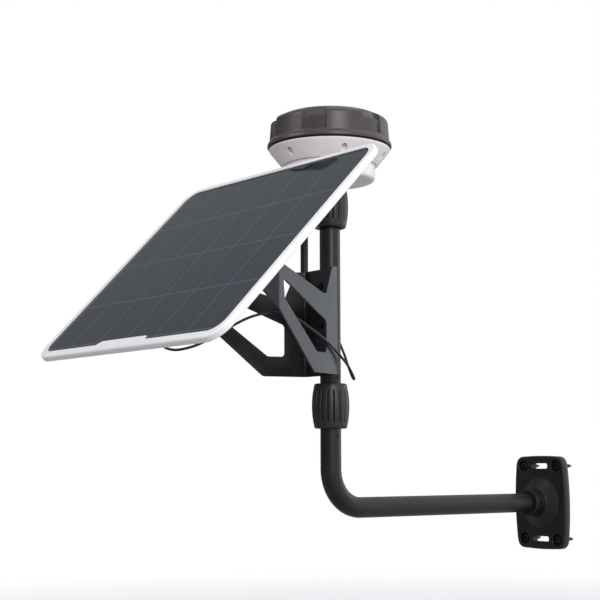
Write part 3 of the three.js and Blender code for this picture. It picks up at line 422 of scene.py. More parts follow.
def softened(corners, closed=True, step=14):
    """An outline through corners (x, y, radius), each rounded by an arc of that radius."""
    points = []
    for i, (x, y, radius) in enumerate(corners):
        here = Vector((x, y))
        if radius == 0 or (not closed and i in (0, len(corners) - 1)):
            points.append(here)
            continue
        back = (Vector(corners[i - 1][:2]) - here).normalized()
        onward = (Vector(corners[(i + 1) % len(corners)][:2]) - here).normalized()
        turn = math.pi - back.angle(onward)
        centre = here + (back + onward).normalized() * radius / math.cos(turn / 2)
        spoke = here + back * radius * math.tan(turn / 2) - centre
        way = 1 if spoke.cross(here + onward * radius * math.tan(turn / 2) - centre) > 0 else -1
        parts = max(2, round(math.degrees(turn) / step))
        for k in range(parts + 1):
            spin = Matrix.Rotation(way * turn * k / parts, 2)
            points.append(centre + spin @ spoke)
    return points


def arc(x, y, radius, start, end, parts):
    """Points on an arc, from one angle in degrees to another."""
    angles = [math.radians(start + (end - start) * k / parts) for k in range(parts + 1)]
    return [Vector((x + radius * math.cos(a), y + radius * math.sin(a))) for a in angles]


def quadratic(start, *bends, parts=10):
    """An outline of quadratic curves, each bend being (control, end)."""
    points = [Vector(start)]
    for control, end in bends:
        a, b, c = points[-1].copy(), Vector(control), Vector(end)
        for k in range(1, parts + 1):
            t = k / parts
            points.append(a * (1 - t) ** 2 + b * 2 * t * (1 - t) + c * t ** 2)
    return points


def finely(points, step):
    """The same line with no stretch longer than step."""
    fine = [points[0]]
    for a, b in zip(points, points[1:]):
        parts = max(1, math.ceil((b - a).length / step))
        fine.extend(a.lerp(b, k / parts) for k in range(1, parts + 1))
    return fine


def rounded_rect(width, height, radius, x=0, y=0, step=9):
    right, top = width / 2, height / 2
    corners = [(x + right, y + top), (x - right, y + top), (x - right, y - top), (x + right, y - top)]
    return softened([(*corner, radius) for corner in corners], step=step)


def spun(profile, steps=64, start=0.0):
    """Turns a [radius, height] outline about Z. An outline that ends on the axis stays open there."""
    bm = bmesh.new()
    verts = [bm.verts.new((r, 0, z)) for r, z in profile]
    ends = list(zip(verts, verts[1:]))
    if profile[0][0] > 1e-6 or profile[-1][0] > 1e-6:
        ends.append((verts[-1], verts[0]))
    edges = [bm.edges.new(pair) for pair in ends]
    bmesh.ops.rotate(bm, verts=bm.verts, matrix=Matrix.Rotation(math.radians(start), 3, "Z"))
    bmesh.ops.spin(
        bm, geom=verts + edges, cent=(0, 0, 0), axis=(0, 0, 1),
        angle=2 * math.pi, steps=steps, use_merge=True,
    )
    bmesh.ops.remove_doubles(bm, verts=bm.verts, dist=0.001)
    bmesh.ops.recalc_face_normals(bm, faces=bm.faces)
    return bm


def tube_ring(inner, outer, bottom, top, steps=64, edge=0.4):
    """A short tube with eased edges."""
    corners = [(inner, bottom, edge), (outer, bottom, edge), (outer, top, edge), (inner, top, edge)]
    return spun(softened(corners, step=30), steps)


def only(kind, geom):
    """The elements of one kind among those that a bmesh operator gives back."""
    return [one for one in geom if isinstance(one, kind)]


def prism(outline, bottom, top):
    """An outline in X and Y, extruded from bottom to top."""
    bm = bmesh.new()
    face = bm.faces.new([bm.verts.new((x, y, bottom)) for x, y in outline])
    grown = bmesh.ops.extrude_face_region(bm, geom=[face])["geom"]
    bmesh.ops.translate(bm, vec=(0, 0, top - bottom), verts=only(bmesh.types.BMVert, grown))
    bmesh.ops.recalc_face_normals(bm, faces=bm.faces)
    return bm


def ease_rim(slab, height, ease, parts):
    """Rounds the edges that run round a slab at one height."""
    rim = [e for e in slab.edges if all(abs(v.co.z - height) < 0.01 for v in e.verts)]
    bmesh.ops.bevel(
        slab, geom=rim, offset=ease, offset_type="OFFSET", affect="EDGES",
        segments=parts, profile=0.5, material=-1, clamp_overlap=False,
    )


def rod(radius, bottom, top, steps=32):
    return spun([(0, bottom), (radius, bottom), (radius, top), (0, top)], steps)


def eased_rod(radius, bottom, top, foot, crown, steps=32):
    """A round bar with its lower edge rounded by foot and its upper edge by crown."""
    corners = [(0, bottom, 0), (radius, bottom, foot), (radius, top, crown), (0, top, 0)]
    return spun(softened(corners, closed=False), steps)


def flared_rod(radius, bottom, top, flare, steps=40):
    """A cutter for a hole whose mouth, at the top, is eased by flare."""
    return spun([
        (0, bottom),
        (radius, bottom),
        (radius, top - flare),
        (radius + flare, top),
        (radius + flare, top + 5),
        (0, top + 5),
    ], steps)


def moved(bm, matrix):
    bmesh.ops.transform(bm, matrix=matrix, verts=bm.verts)
    return bm


def turned_to(axis, angle, place=(0, 0, 0)):
    return Matrix.Translation(place) @ Matrix.Rotation(math.radians(angle), 4, axis)


def combined(body, tools, operation="DIFFERENCE"):
    """Cuts every tool out of a shape, or joins it on, and returns the new shape."""
    loose = []
    for bm in (body, *tools):
        mesh = bpy.data.meshes.new("shape")
        bm.to_mesh(mesh)
        bm.free()
        loose.append(bpy.data.objects.new("shape", mesh))
        bpy.context.scene.collection.objects.link(loose[-1])
    for tool in loose[1:]:
        step = loose[0].modifiers.new("Shape", "BOOLEAN")
        step.operation = operation
        step.solver = "EXACT"
        step.object = tool
    bpy.context.view_layer.update()
    evaluated = loose[0].evaluated_get(bpy.context.evaluated_depsgraph_get())
    result = bmesh.new()
    result.from_mesh(evaluated.to_mesh())
    evaluated.to_mesh_clear()
    for one in loose:
        mesh = one.data
        bpy.data.objects.remove(one)
        bpy.data.meshes.remove(mesh)
    return result


def refined(node, finish, bevel=0.4, smooth=32):
    """A merged copy of a part whose shape is right already, with its edges eased."""
    bm = bmesh.new()
    bm.from_mesh(frame["nodes"][node].data)
    bmesh.ops.scale(bm, vec=(1 / MM,) * 3, verts=bm.verts)
    bmesh.ops.remove_doubles(bm, verts=bm.verts, dist=0.002)
    bmesh.ops.dissolve_limit(bm, angle_limit=math.radians(1), verts=bm.verts, edges=bm.edges)
    return piece(node, bm, finish, bevel=bevel, smooth=smooth)


# ------------------------------------------------------------------ cable

CABLE_R = 1.7
LINE_PARTS = 6  # stretches of the smooth line from one point of the route to the next
CABLE_ROUTE = [  # metres from the arm's upper end, from the gland to the mast
    (0, -0.2743, 0.0788),
    (0.0003, -0.271, 0.0756),
    (0.0012, -0.2655, 0.0724),
    (0.004, -0.2555, 0.0706),
    (0.009, -0.243, 0.0726),
    (0.016, -0.229, 0.0778),
    (0.026, -0.209, 0.0895),
    (0.037, -0.1895, 0.1028),
    (0.046, -0.174, 0.112),
    (0.054, -0.158, 0.1176),
    (0.061, -0.141, 0.1194),
    (0.0646, -0.125, 0.118),
    (0.0644, -0.112, 0.1146),
    (0.0624, -0.099, 0.1096),
    (0.059, -0.082, 0.1028),
    (0.054, -0.064, 0.096),
    (0.048, -0.0465, 0.089),
    (0.0426, -0.03, 0.081),
    (0.0384, -0.014, 0.0715),
    (0.036, -0.001, 0.0615),
    (0.0336, 0.0085, 0.0518),
    (0.0296, 0.016, 0.0454),
    (0.0234, 0.0214, 0.0438),
    (0.016, 0.025, 0.0476),
    (0.009, 0.027, 0.056),
    (0.0025, 0.028, 0.067),
    (-0.004, 0.0286, 0.079),
    (-0.0104, 0.0284, 0.0905),
    (-0.0145, 0.0274, 0.1),
    (-0.0137, 0.0258, 0.1065),
    (-0.0115, 0.0216, 0.1113),
    (-0.00865, 0.0163, 0.113),
]


def line_through(points):
    """A smooth line through every point: a centripetal Catmull-Rom curve."""
    ends = [points[0] * 2 - points[1], *points, points[-1] * 2 - points[-2]]
    line = []
    for a, b, c, d in zip(ends, ends[1:], ends[2:], ends[3:]):
        before, span, after = ((q - p).length ** 0.5 for p, q in ((a, b), (b, c), (c, d)))
        leave = ((b - a) / before - (c - a) / (before + span) + (c - b) / span) * span
        arrive = ((c - b) / span - (d - b) / (span + after) + (d - c) / after) * span
        for k in range(LINE_PARTS):
            t = k / LINE_PARTS
            line.append(
                b * (2 * t ** 3 - 3 * t ** 2 + 1) + leave * (t ** 3 - 2 * t ** 2 + t)
                + c * (3 * t ** 2 - 2 * t ** 3) + arrive * (t ** 3 - t ** 2)
            )
    return [*line, points[-1]]


def panel_cable():
    """Round cable from the panel's gland, over the bracket's cheek, to the mast's grommet."""
    arm_end = Vector((0, MAST_Y, ARM_TOP)) * MM
    line = line_through([Vector(point) + arm_end for point in CABLE_ROUTE])
    curve = bpy.data.curves.new("cable_line", "CURVE")
    curve.dimensions = "3D"
    curve.bevel_depth = CABLE_R * MM
    curve.bevel_resolution = 4
    curve.use_fill_caps = True
    spline = curve.splines.new("POLY")
    spline.points.add(len(line) - 1)
    for point, place in zip(spline.points, line):
        point.co = (*place, 1)
    guide = bpy.data.objects.new("cable_line", curve)
    bpy.context.scene.collection.objects.link(guide)
    bpy.context.view_layer.update()
    mesh = bpy.data.meshes.new_from_object(guide.evaluated_get(bpy.context.evaluated_depsgraph_get()))
    bpy.data.objects.remove(guide)
    cable = bpy.data.objects.new("panel_cable_sheath", mesh)
    bpy.context.scene.collection.objects.link(cable)
    mesh.shade_smooth()
    mesh.set_sharp_from_angle(angle=math.radians(60))
    mesh.materials.clear()
    mesh.materials.append(CABLE_SHEATH.material)
    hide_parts("panel_cable")
    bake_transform(cable)


panel_cable()

# ------------------------------------------------------------------ fasteners


HEX_SIDES = 6


def screw(head, point, shank, length, drive, drive_depth):
    """Screw along Z: its head stands on z = 0, its shank hangs down, and its drive is sunk in the head."""
    top = head[-1][1]
    outline = [(0, -length, 0), (shank * 0.35, -length, 0), (shank, point - length, 0), (shank, 0, 0), *head]
    body = spun(softened([*outline, (0, top, 0)], closed=False, step=20), 48)
    socket = rod(drive, top - drive_depth, top + 2, HEX_SIDES)
    return combined(body, [socket])


def hexagon(across, bottom, top, bore=0.0):
    """Hexagon head or nut with chamfered corners, and a bore where one is given."""
    height = top - bottom
    reach = across / 2 / math.cos(math.pi / 6)
    block = rod(reach, bottom, top, HEX_SIDES)
    slant = 0.12 * height + 0.4
    chamfer = spun([
        (0, bottom),
        (across / 2, bottom),
        (reach + 0.2, bottom + slant),
        (reach + 0.2, top - slant),
        (across / 2, top),
        (0, top),
    ], 48)
    body = combined(block, [chamfer], "INTERSECT")
    return combined(body, [flared_rod(bore, bottom - 1, top, 0.3, 32)]) if bore else body


# ------------------------------------------------------------------ wall plate and arm

PLATE_T = 12
plate_low, plate_high = box("wall_plate")
PLATE_H = plate_high.z - plate_low.z
PLATE_W = plate_high.x - plate_low.x
PLATE_BULGE = 3
PLATE_CORNER = 17
SOCKET_FRONT = -plate_low.y
SOCKET_R = TUBE_R + GAP + 6.4
BOSS_R = SOCKET_R + 15.9
BOSS_H = 9
SCREW_X = PLATE_W / 2 - 18
SCREW_Z = PLATE_H / 2 - 15.5
SLOT_W = 32
SLOT_H = 8
SLOT_CORNER = 2.5
SLOT_EASE = 0.7
COUNTERBORE_R = 8.5
COUNTERBORE_DEPTH = 6
WALL_SCREW_HEAD = 4
PIN_SHY = 0.8  # how far the arm's pin stays short of its length in the frame
OUT_OF_WALL = Matrix.Rotation(math.pi / 2, 4, "X")


def wall_plate():
    """Cast plate with a cone and socket for the arm, four sunk screw holes and two strap slots."""
    x, z, c = PLATE_W / 2 - PLATE_BULGE, PLATE_H / 2, PLATE_CORNER
    outline = quadratic(
        (x, c - z),
        ((x + 2 * PLATE_BULGE, 0), (x, z - c)),
        ((x - 1, z), (x - c, z - 1)),
        ((0, z + 1), (c - x, z - 1)),
        ((1 - x, z), (-x, z - c)),
        ((-x - 2 * PLATE_BULGE, 0), (-x, c - z)),
        ((1 - x, -z), (c - x, 1 - z)),
        ((0, -z - 1), (x - c, 1 - z)),
        ((x - 1, -z), (x, c - z)),
    )[:-1]
    slab = prism(outline, 0, PLATE_T)
    for height, ease, parts in ((PLATE_T, 3, 6), (0, 0.8, 2)):
        ease_rim(slab, height, ease, parts)
    cone_top = PLATE_T + BOSS_H
    boss = spun(softened([
        (0, 1, 0),
        (BOSS_R - 4, 1, 0),
        (BOSS_R - 4, PLATE_T - 2, 0),
        (BOSS_R + 1.5, PLATE_T - 0.6, 0),
        (BOSS_R - 0.5, PLATE_T + 0.9, 1.5),
        (SOCKET_R + 0.8, cone_top + 0.6, 2),
        (SOCKET_R, SOCKET_FRONT - 8, 0),
        (SOCKET_R, SOCKET_FRONT, 1.5),
        (TUBE_R - 3, SOCKET_FRONT, 0),
        (0, SOCKET_FRONT, 0),
    ], closed=False, step=10), 96)
    body = combined(slab, [boss], "UNION")
    tools = [flared_rod(TUBE_R + GAP, 5, SOCKET_FRONT, 0.8, 64)]
    set_screw = flared_rod(2.8, 0, SOCKET_R, 0.6, 24)
    tools.append(moved(set_screw, turned_to("Y", 90, (0, 0, SOCKET_FRONT - 10))))
    for side in (-1, 1):
        for end in (-1, 1):
            spot = Matrix.Translation((side * SCREW_X, end * SCREW_Z, 0))
            tools.append(moved(flared_rod(3.5, -2, PLATE_T - COUNTERBORE_DEPTH, 0.4), spot))
            tools.append(moved(flared_rod(COUNTERBORE_R, PLATE_T - COUNTERBORE_DEPTH, PLATE_T, 0.8), spot))
    for end in (-1, 1):
        for ease, floor in ((0, -2), (SLOT_EASE, PLATE_T - SLOT_EASE)):
            width, height = SLOT_W + 2 * ease, SLOT_H + 2 * ease
            slot = rounded_rect(width, height, SLOT_CORNER + ease, 0, end * SCREW_Z, step=15)
            tools.append(prism(slot, floor, PLATE_T + 2))
    piece("wall_plate", combined(body, tools), BLACK_PAINT, place=OUT_OF_WALL, smooth=24)


def wall_screws():
    for number in range(1, 5):
        node = f"wall_screw_{number}"
        low, high = box(node)
        seat = low.y + WALL_SCREW_HEAD
        head = [(6, 0, 0), (6, WALL_SCREW_HEAD, 1.6)]
        made = screw(head, point=7, shank=2.8, length=high.y - seat, drive=2.6, drive_depth=2.2)
        middle = middle_of(node)
        spot = Matrix.Translation((middle.x, seat, middle.z)) @ OUT_OF_WALL
        piece(node, made, BLACK_STEEL, place=spot)


def arm_tube():
    """Tube that runs out from the wall, bends up a quarter turn and stands up to the mast."""
    vert, edge = bmesh.types.BMVert, bmesh.types.BMEdge
    bm = bmesh.new()
    for radius in (TUBE_R, TUBE_R - TUBE_WALL):
        bmesh.ops.create_circle(bm, cap_ends=False, segments=72, radius=radius)
    bmesh.ops.rotate(bm, verts=bm.verts, matrix=Matrix.Rotation(math.pi / 2, 3, "X"))
    bmesh.ops.translate(bm, vec=(0, ARM_START, 0), verts=bm.verts)
    first = list(bm.edges)
    last = bmesh.ops.extrude_edge_only(bm, edges=first)["geom"]
    bmesh.ops.translate(bm, vec=(0, MAST_Y + ARM_BEND_R - ARM_START, 0), verts=only(vert, last))
    last = bmesh.ops.spin(
        bm, geom=only((edge, vert), last), cent=(0, MAST_Y + ARM_BEND_R, ARM_BEND_R), axis=(1, 0, 0),
        angle=-math.pi / 2, steps=28,
    )["geom_last"]
    last = bmesh.ops.extrude_edge_only(bm, edges=only(edge, last))["geom"]
    bmesh.ops.translate(bm, vec=(0, 0, ARM_TOP - ARM_BEND_R), verts=only(vert, last))
    bmesh.ops.bridge_loops(bm, edges=first)
    bmesh.ops.bridge_loops(bm, edges=only(edge, last))
    bmesh.ops.remove_doubles(bm, verts=bm.verts, dist=0.001)
    bmesh.ops.recalc_face_normals(bm, faces=bm.faces)
    hole = moved(rod(2.1, 0, TUBE_R + 2), turned_to("Y", 90, (0, MAST_Y, middle_of("arm_pin").z)))
    piece("arm_tube", combined(bm, [hole]), BLACK_PAINT, smooth=40)


def small_turned_parts():
    """The arm's locking pin, the socket's set screw, and the sleeves and rings inside the collars."""
    low, high = box("arm_pin")
    pin = eased_rod(1.8, low.x, high.x - PIN_SHY, 0, 0.5)
    middle = middle_of("arm_pin")
    piece("arm_pin", pin, BLACK_STEEL, place=turned_to("Y", 90, (0, middle.y, middle.z)))
    low, high = box("socket_set_screw")
    grub = eased_rod(2.5, low.x, high.x, 0.5, 0.5)
    grub = combined(grub, [rod(1.3, high.x - 2.4, high.x + 1, HEX_SIDES)])
    middle = middle_of("socket_set_screw")
    piece("socket_set_screw", grub, BLACK_STEEL, place=turned_to("Y", 90, (0, middle.y, 0)))
    for node, wall in (("arm_thread_sleeve", 5), ("mast_spigot", 2)):
        low, high = box(node)
        made = tube_ring(high.x - wall, high.x, low.z, high.z)
        piece(node, made, STEEL, place=TO_MAST)
    refined("lower_collet", WHITE_SHEET, 0.3)
    refined("upper_collet", WHITE_SHEET, 0.3)


# ------------------------------------------------------------------ collars and mast

COLLAR_H = 60
COLLAR_BORE_R = TUBE_R + 5.6
COLLAR_END_R = COLLAR_BORE_R + 2.1
COLLAR_BULGE_R = COLLAR_END_R + 3.6
BARREL_PARTS = 44
COLLAR_GROOVES = 18
GROOVE_HALF = 1.25
GROOVE_DEPTH = 1.5
RIB_CROWN = 0.35


def collar():
    """Barrel nut with grooves that stop short of its round shoulders. Its open bore is at z = 0."""
    middle = COLLAR_H / 2
    barrel = []
    for k in range(BARREL_PARTS + 1):
        z = 2.5 + (COLLAR_H - 5) * k / BARREL_PARTS
        away = (z - middle) / middle
        barrel.append((COLLAR_BULGE_R - (COLLAR_BULGE_R - COLLAR_END_R) * away * away, z, 0))
    taper_top = COLLAR_H - 7
    profile = softened([
        (COLLAR_BORE_R, 0, 0.4),
        (COLLAR_END_R - 0.6, 0, 1.2),
        *barrel,
        (COLLAR_END_R - 0.5, COLLAR_H, 1.4),
        (COLLAR_END_R - 2.6, COLLAR_H, 0.5),
        (TUBE_R + 2 * GAP, COLLAR_H - 4, 0.5),
        (TUBE_R + 2 * GAP, taper_top, 0.3),
        (COLLAR_BORE_R - 2.6, taper_top, 0),
        (COLLAR_BORE_R, taper_top - 16, 0),
    ], step=22)
    bm = spun(profile, COLLAR_GROOVES * 24)
    pitch = 2 * math.pi / COLLAR_GROOVES
    for v in bm.verts:
        radius = math.hypot(v.co.x, v.co.y)
        if radius < COLLAR_END_R or not 2 < v.co.z < COLLAR_H - 2:
            continue
        phase = (math.atan2(v.co.y, v.co.x) / pitch) % 1 - 0.5
        beyond = max(0, 8 - v.co.z, v.co.z - (COLLAR_H - 10.5))
        away = math.hypot(phase * pitch * radius, beyond)
        groove = max(0, 1 - away / GROOVE_HALF)
        groove = groove * groove * (3 - 2 * groove)
        crown = RIB_CROWN * (1 - math.cos(phase * 2 * math.pi)) / 2 * max(0, 1 - beyond / 5) - RIB_CROWN / 2
        fade = min(1, (v.co.z - 2) / 5, (COLLAR_H - 2 - v.co.z) / 5)
        scale = (radius - groove * GROOVE_DEPTH + crown * fade) / radius
        v.co.x *= scale
        v.co.y *= scale
    return bm


def collars():
    upright = Matrix.Translation((0, 0, box("lower_collar")[0].z))
    upside_down = turned_to("X", 180, (0, 0, box("upper_collar")[1].z))
    for node, way_up in (("lower_collar", upright), ("upper_collar", upside_down)):
        piece(node, collar(), NUT_PLASTIC, place=TO_MAST @ way_up, smooth=50)


BRACKET_SCREWS_Z = (20, 67, 121)
GROMMET_Z = BRACKET_Z + 65
GROMMET_ANGLE = 118
TO_GROMMET = (
    Matrix.Translation((0, MAST_Y, GROMMET_Z))
    @ Matrix.Rotation(math.radians(GROMMET_ANGLE), 4, "Z")
    @ Matrix.Rotation(math.pi / 2, 4, "Y")
)


def mast_tube():
    tube = moved(tube_ring(TUBE_R - TUBE_WALL, TUBE_R, MAST_BOTTOM, MAST_TOP, 72), TO_MAST)
    tools = [moved(rod(4.5, 0, TUBE_R + 3), TO_GROMMET)]
    for z in BRACKET_SCREWS_Z:
        spot = Matrix.Translation((0, MAST_Y, BRACKET_Z + z)) @ OUT_OF_WALL
        tools.append(moved(rod(2.8, 0, TUBE_R + 2), spot))
    piece("mast_tube", combined(tube, tools), BLACK_PAINT, smooth=40)


def cable_grommet():
    inside, face = TUBE_R - TUBE_WALL - 0.5, TUBE_R + 4
    bore = CABLE_R + GAP
    made = spun(softened([
        (bore, inside, 0.3),
        (4.2, inside, 0.6),
        (4.2, TUBE_R + 1.6, 0),
        (6, TUBE_R + 1.6, 0.3),
        (5.2, TUBE_R + 3, 0.8),
        (CABLE_R + 1.6, face, 0.6),
        (bore, face, 0.2),
    ], step=25), 48)
    piece("cable_grommet", made, RUBBER, place=TO_GROMMET)


# ------------------------------------------------------------------ panel bracket

SHEET = 3
WEB_HALF = 32.5
WEB_H = 144
WEB_MIDDLE = -TUBE_R - GAP - SHEET / 2
CHEEK_SPLAY = 20
CHEEK_REACH = 150
PIVOT_END_R = 17
PIVOT = middle_of("pivot_bolt_right")
LOWER_SLOPE = 0.86
UPPER_SLOPE = 0.264
LOWER_BEND_Z = 76
UPPER_BEND_Z = 134.3
TAB_BEND = WEB_HALF + CHEEK_REACH  # distances along the sheet from the bracket's middle
WINDOW_START = WEB_HALF + 31
STRUT_REACH = CHEEK_REACH - 39  # how far the upper strut runs back from the tab
BEND_CUTS = 8
cheek_way = Vector((math.sin(math.radians(CHEEK_SPLAY)), -math.cos(math.radians(CHEEK_SPLAY))))
web_corner = Vector((WEB_HALF, WEB_MIDDLE))
tab_corner = web_corner + cheek_way * CHEEK_REACH
PIVOT_ALONG = TAB_BEND + tab_corner.y - (PIVOT.y - MAST_Y)
PIVOT_Z = PIVOT.z - BRACKET_Z
BENDS = (  # where, half its width, corner, way in, way out
    (WEB_HALF, 3.4, web_corner, Vector((1, 0)), cheek_way),
    (TAB_BEND, 3.0, tab_corner, cheek_way, Vector((0, -1))),
)


def cheek_outline():
    """The right half of the flat sheet, from its lower edge round the tab to its upper edge."""
    lower_end = math.degrees(math.atan2(-1, LOWER_SLOPE))
    upper_end = math.degrees(math.atan2(1, -UPPER_SLOPE))
    lower_corner = TAB_BEND - LOWER_BEND_Z / LOWER_SLOPE
    lower = softened([(0, 0, 0), (lower_corner, 0, 9), (TAB_BEND, LOWER_BEND_Z, 0)], False, 6)
    return [
        *lower[1:],
        *arc(PIVOT_ALONG, PIVOT_Z, PIVOT_END_R, lower_end, upper_end, 24),
        *softened([
            (TAB_BEND, UPPER_BEND_Z, 0),
            (TAB_BEND - STRUT_REACH, UPPER_BEND_Z - UPPER_SLOPE * STRUT_REACH, 3.5),
            (WINDOW_START, 105, 3),
            (WEB_HALF + 15, WEB_H - 1, 1.5),
            (WEB_HALF, WEB_H, 0),
        ], False, 10),
    ]


def cheek_window():
    return softened([
        (WINDOW_START, 27, 5),
        (WEB_HALF + 55.5, 27, 8),
        (TAB_BEND - 14.5, 88.4, 6),
        (TAB_BEND - 11.5, 113.9, 3),
        (WINDOW_START, 69.5, 6),
    ], step=9)


def folded(along):
    """Where a distance along the flat sheet comes to lie, in X and Y, once the sheet is bent."""
    side = -1 if along < 0 else 1
    along = abs(along)
    spot, start, way = Vector((0, WEB_MIDDLE)), 0, Vector((1, 0))
    for where, half, corner, way_in, way_out in BENDS:
        if along > where + half:
            spot, start, way = corner, where, way_out
        elif along > where - half:
            t = (along - where + half) / (2 * half)
            a, b = corner - way_in * half, corner + way_out * half
            bent = a * (1 - t) ** 2 + corner * 2 * t * (1 - t) + b * t ** 2
            return side * bent.x, bent.y
    reached = spot + way * (along - start)
    return side * reached.x, reached.y


def panel_bracket():
    """One sheet, cut flat with its windows and holes and then bent four times."""
    right = cheek_outline()
    loops = [[*right, *[Vector((-p.x, p.y)) for p in reversed(right)]]]
    loops += [arc(0, z, 2.8, 0, 345, 23) for z in BRACKET_SCREWS_Z]
    for side in (-1, 1):
        loops.append([Vector((side * p.x, p.y)) for p in cheek_window()])
        loops.append(arc(side * PIVOT_ALONG, PIVOT_Z, 3.3, 0, 345, 23))
    bm = bmesh.new()
    for loop in loops:
        verts = [bm.verts.new((p.x, p.y, 0)) for p in loop]
        for pair in zip(verts, verts[1:] + verts[:1]):
            bm.edges.new(pair)
    bmesh.ops.triangle_fill(bm, use_beauty=True, use_dissolve=False, edges=bm.edges, normal=(0, 0, 1))
    for where, half, *_ in BENDS:
        for side in (-1, 1):
            for k in range(BEND_CUTS + 1):
                cut = side * (where - half + 2 * half * k / BEND_CUTS)
                bmesh.ops.bisect_plane(
                    bm, geom=[*bm.verts, *bm.edges, *bm.faces], dist=0.001,
                    plane_co=(cut, 0, 0), plane_no=(1, 0, 0),
                )
    for v in bm.verts:
        x, y = folded(v.co.x)
        v.co = (x, MAST_Y + y, BRACKET_Z + v.co.y)
    piece("panel_bracket", bm, SHEET_PAINT, thickness=SHEET, bevel=0.45, smooth=28)


WEB_SCREW_HEAD = 2.8
BOLT_HEAD = 4
BOLT_R = 3
BOLT_ACROSS = 10


def bracket_fasteners():
    """Screws through the bracket into the mast, and the pivot bolts with their nuts."""
    for number, z in enumerate(BRACKET_SCREWS_Z, 1):
        node = f"bracket_screw_{number}"
        low, high = box(node)
        seat = low.y + WEB_SCREW_HEAD
        head = [(4.6, 0, 0.3), (4.4, 1.8, 0), (3.2, WEB_SCREW_HEAD, 0.6)]
        made = screw(head, point=0.6, shank=2.5, length=high.y - seat, drive=1.7, drive_depth=1.8)
        piece(node, made, BLACK_STEEL, place=Matrix.Translation((0, seat, BRACKET_Z + z)) @ OUT_OF_WALL)
    for side, name in ((-1, "left"), (1, "right")):
        low, high = box(f"pivot_bolt_{name}")
        length = high.x - low.x
        head = hexagon(BOLT_ACROSS, 0.8, BOLT_HEAD)
        flange = spun(softened([(0, 0, 0), (6.2, 0, 0.3), (6.2, 0.9, 0.4), (0, 1.2, 0)], False), 48)
        shank = eased_rod(BOLT_R, BOLT_HEAD - length, 0.2, 0.8, 0, 40)
        bolt = combined(head, [flange, shank], "UNION")
        seat = high.x - BOLT_HEAD if side > 0 else low.x + BOLT_HEAD
        outward = turned_to("Y", 90 * side, (seat, PIVOT.y, PIVOT.z))
        piece(f"pivot_bolt_{name}", bolt, STEEL, place=outward)
        low, high = box(f"pivot_nut_{name}")
        nut = hexagon(BOLT_ACROSS, 0, high.x - low.x, BOLT_R + GAP)
        inward = turned_to("Y", -90 * side, (high.x if side > 0 else low.x, PIVOT.y, PIVOT.z))
        piece(f"pivot_nut_{name}", nut, STEEL, place=inward)
    refined("mast_nut_strip", STEEL, 0.3)


# ------------------------------------------------------------------ antenna head

CUP_BOTTOM = MAST_TOP + 13
CUP_TOP = CUP_BOTTOM + 21
cap_low, cap_high = box("head_cap")
CAP_RIM_R = cap_high.x
CAP_R = CAP_RIM_R - 3.7
CAP_WALL = 3
CAP_BOTTOM = cap_low.z
CAP_TOP = cap_high.z
CAP_SHOULDER = CAP_TOP - 14
CAP_LEDGE = CAP_BOTTOM + 9.4
HOUSING_R = CAP_RIM_R - 2.5
HOUSING_FOOT_R = HOUSING_R - 17.2
HOUSING_TOP = CAP_BOTTOM - 2.1
CUP_R = HOUSING_FOOT_R - 3.4
HOUSING_SCREW_R = HOUSING_R - 9.2
LOBES = 6
FIRST_RECESS = 4.8
RECESS_HALF = 12
RECESS_DEPTH = 3
RECESS_TOP = CAP_SHOULDER - 5.6
FACET_SLOPE = 0.77
SLEEVE_R = COLLAR_BORE_R - GAP


def eased(value):
    value = min(1, max(0, value))
    return value * value * (3 - 2 * value)


def head_cap():
    """Moulded cap with six grips sunk in its side, each under a sloping facet."""
    outside = softened([
        (CAP_RIM_R - 2.5, CAP_BOTTOM, 0),
        (CAP_RIM_R, CAP_BOTTOM, 0.9),
        (CAP_RIM_R - 0.6, CAP_BOTTOM + 4.5, 1.5),
        (CAP_R + 0.4, CAP_BOTTOM + 8, 3),
        (CAP_R - 1.6, CAP_SHOULDER + 2, 7),
        (CAP_R - 17, CAP_SHOULDER + 9.5, 12),
        (CAP_R / 2, CAP_TOP - 1.8, 40),
        (0, CAP_TOP, 0),
    ], closed=False, step=5)
    inner = CAP_R - RECESS_DEPTH - CAP_WALL
    inside = [
        (0, CAP_TOP - CAP_WALL),
        (CAP_R / 2, CAP_TOP - 1.5 - CAP_WALL),
        (CAP_R - 22, CAP_SHOULDER + 9 - CAP_WALL),
        (inner - 4, CAP_SHOULDER - 6),
        (inner, CAP_LEDGE + 3),
        (inner, CAP_BOTTOM),
    ]
    profile = [(inner, CAP_BOTTOM), *finely(outside, 1.1), *inside]
    bm = spun(profile, 480, start=FIRST_RECESS)
    lobe = 360 / LOBES
    for v in bm.verts:
        radius = math.hypot(v.co.x, v.co.y)
        angle = math.degrees(math.atan2(v.co.y, v.co.x)) - FIRST_RECESS
        away = abs((angle + lobe / 2) % lobe - lobe / 2)
        sideways = eased((RECESS_HALF - away) / 0.9)
        above = eased((v.co.z - CAP_LEDGE - 0.3) / 1.1)
        floor = CAP_R - RECESS_DEPTH - FACET_SLOPE * max(0, v.co.z - RECESS_TOP)
        sunk = radius + (min(radius, floor) - radius) * sideways * above
        if radius > 0.1:
            v.co.x *= sunk / radius
            v.co.y *= sunk / radius
    piece("head_cap", bm, CAP_PLASTIC, place=TO_MAST, smooth=38)


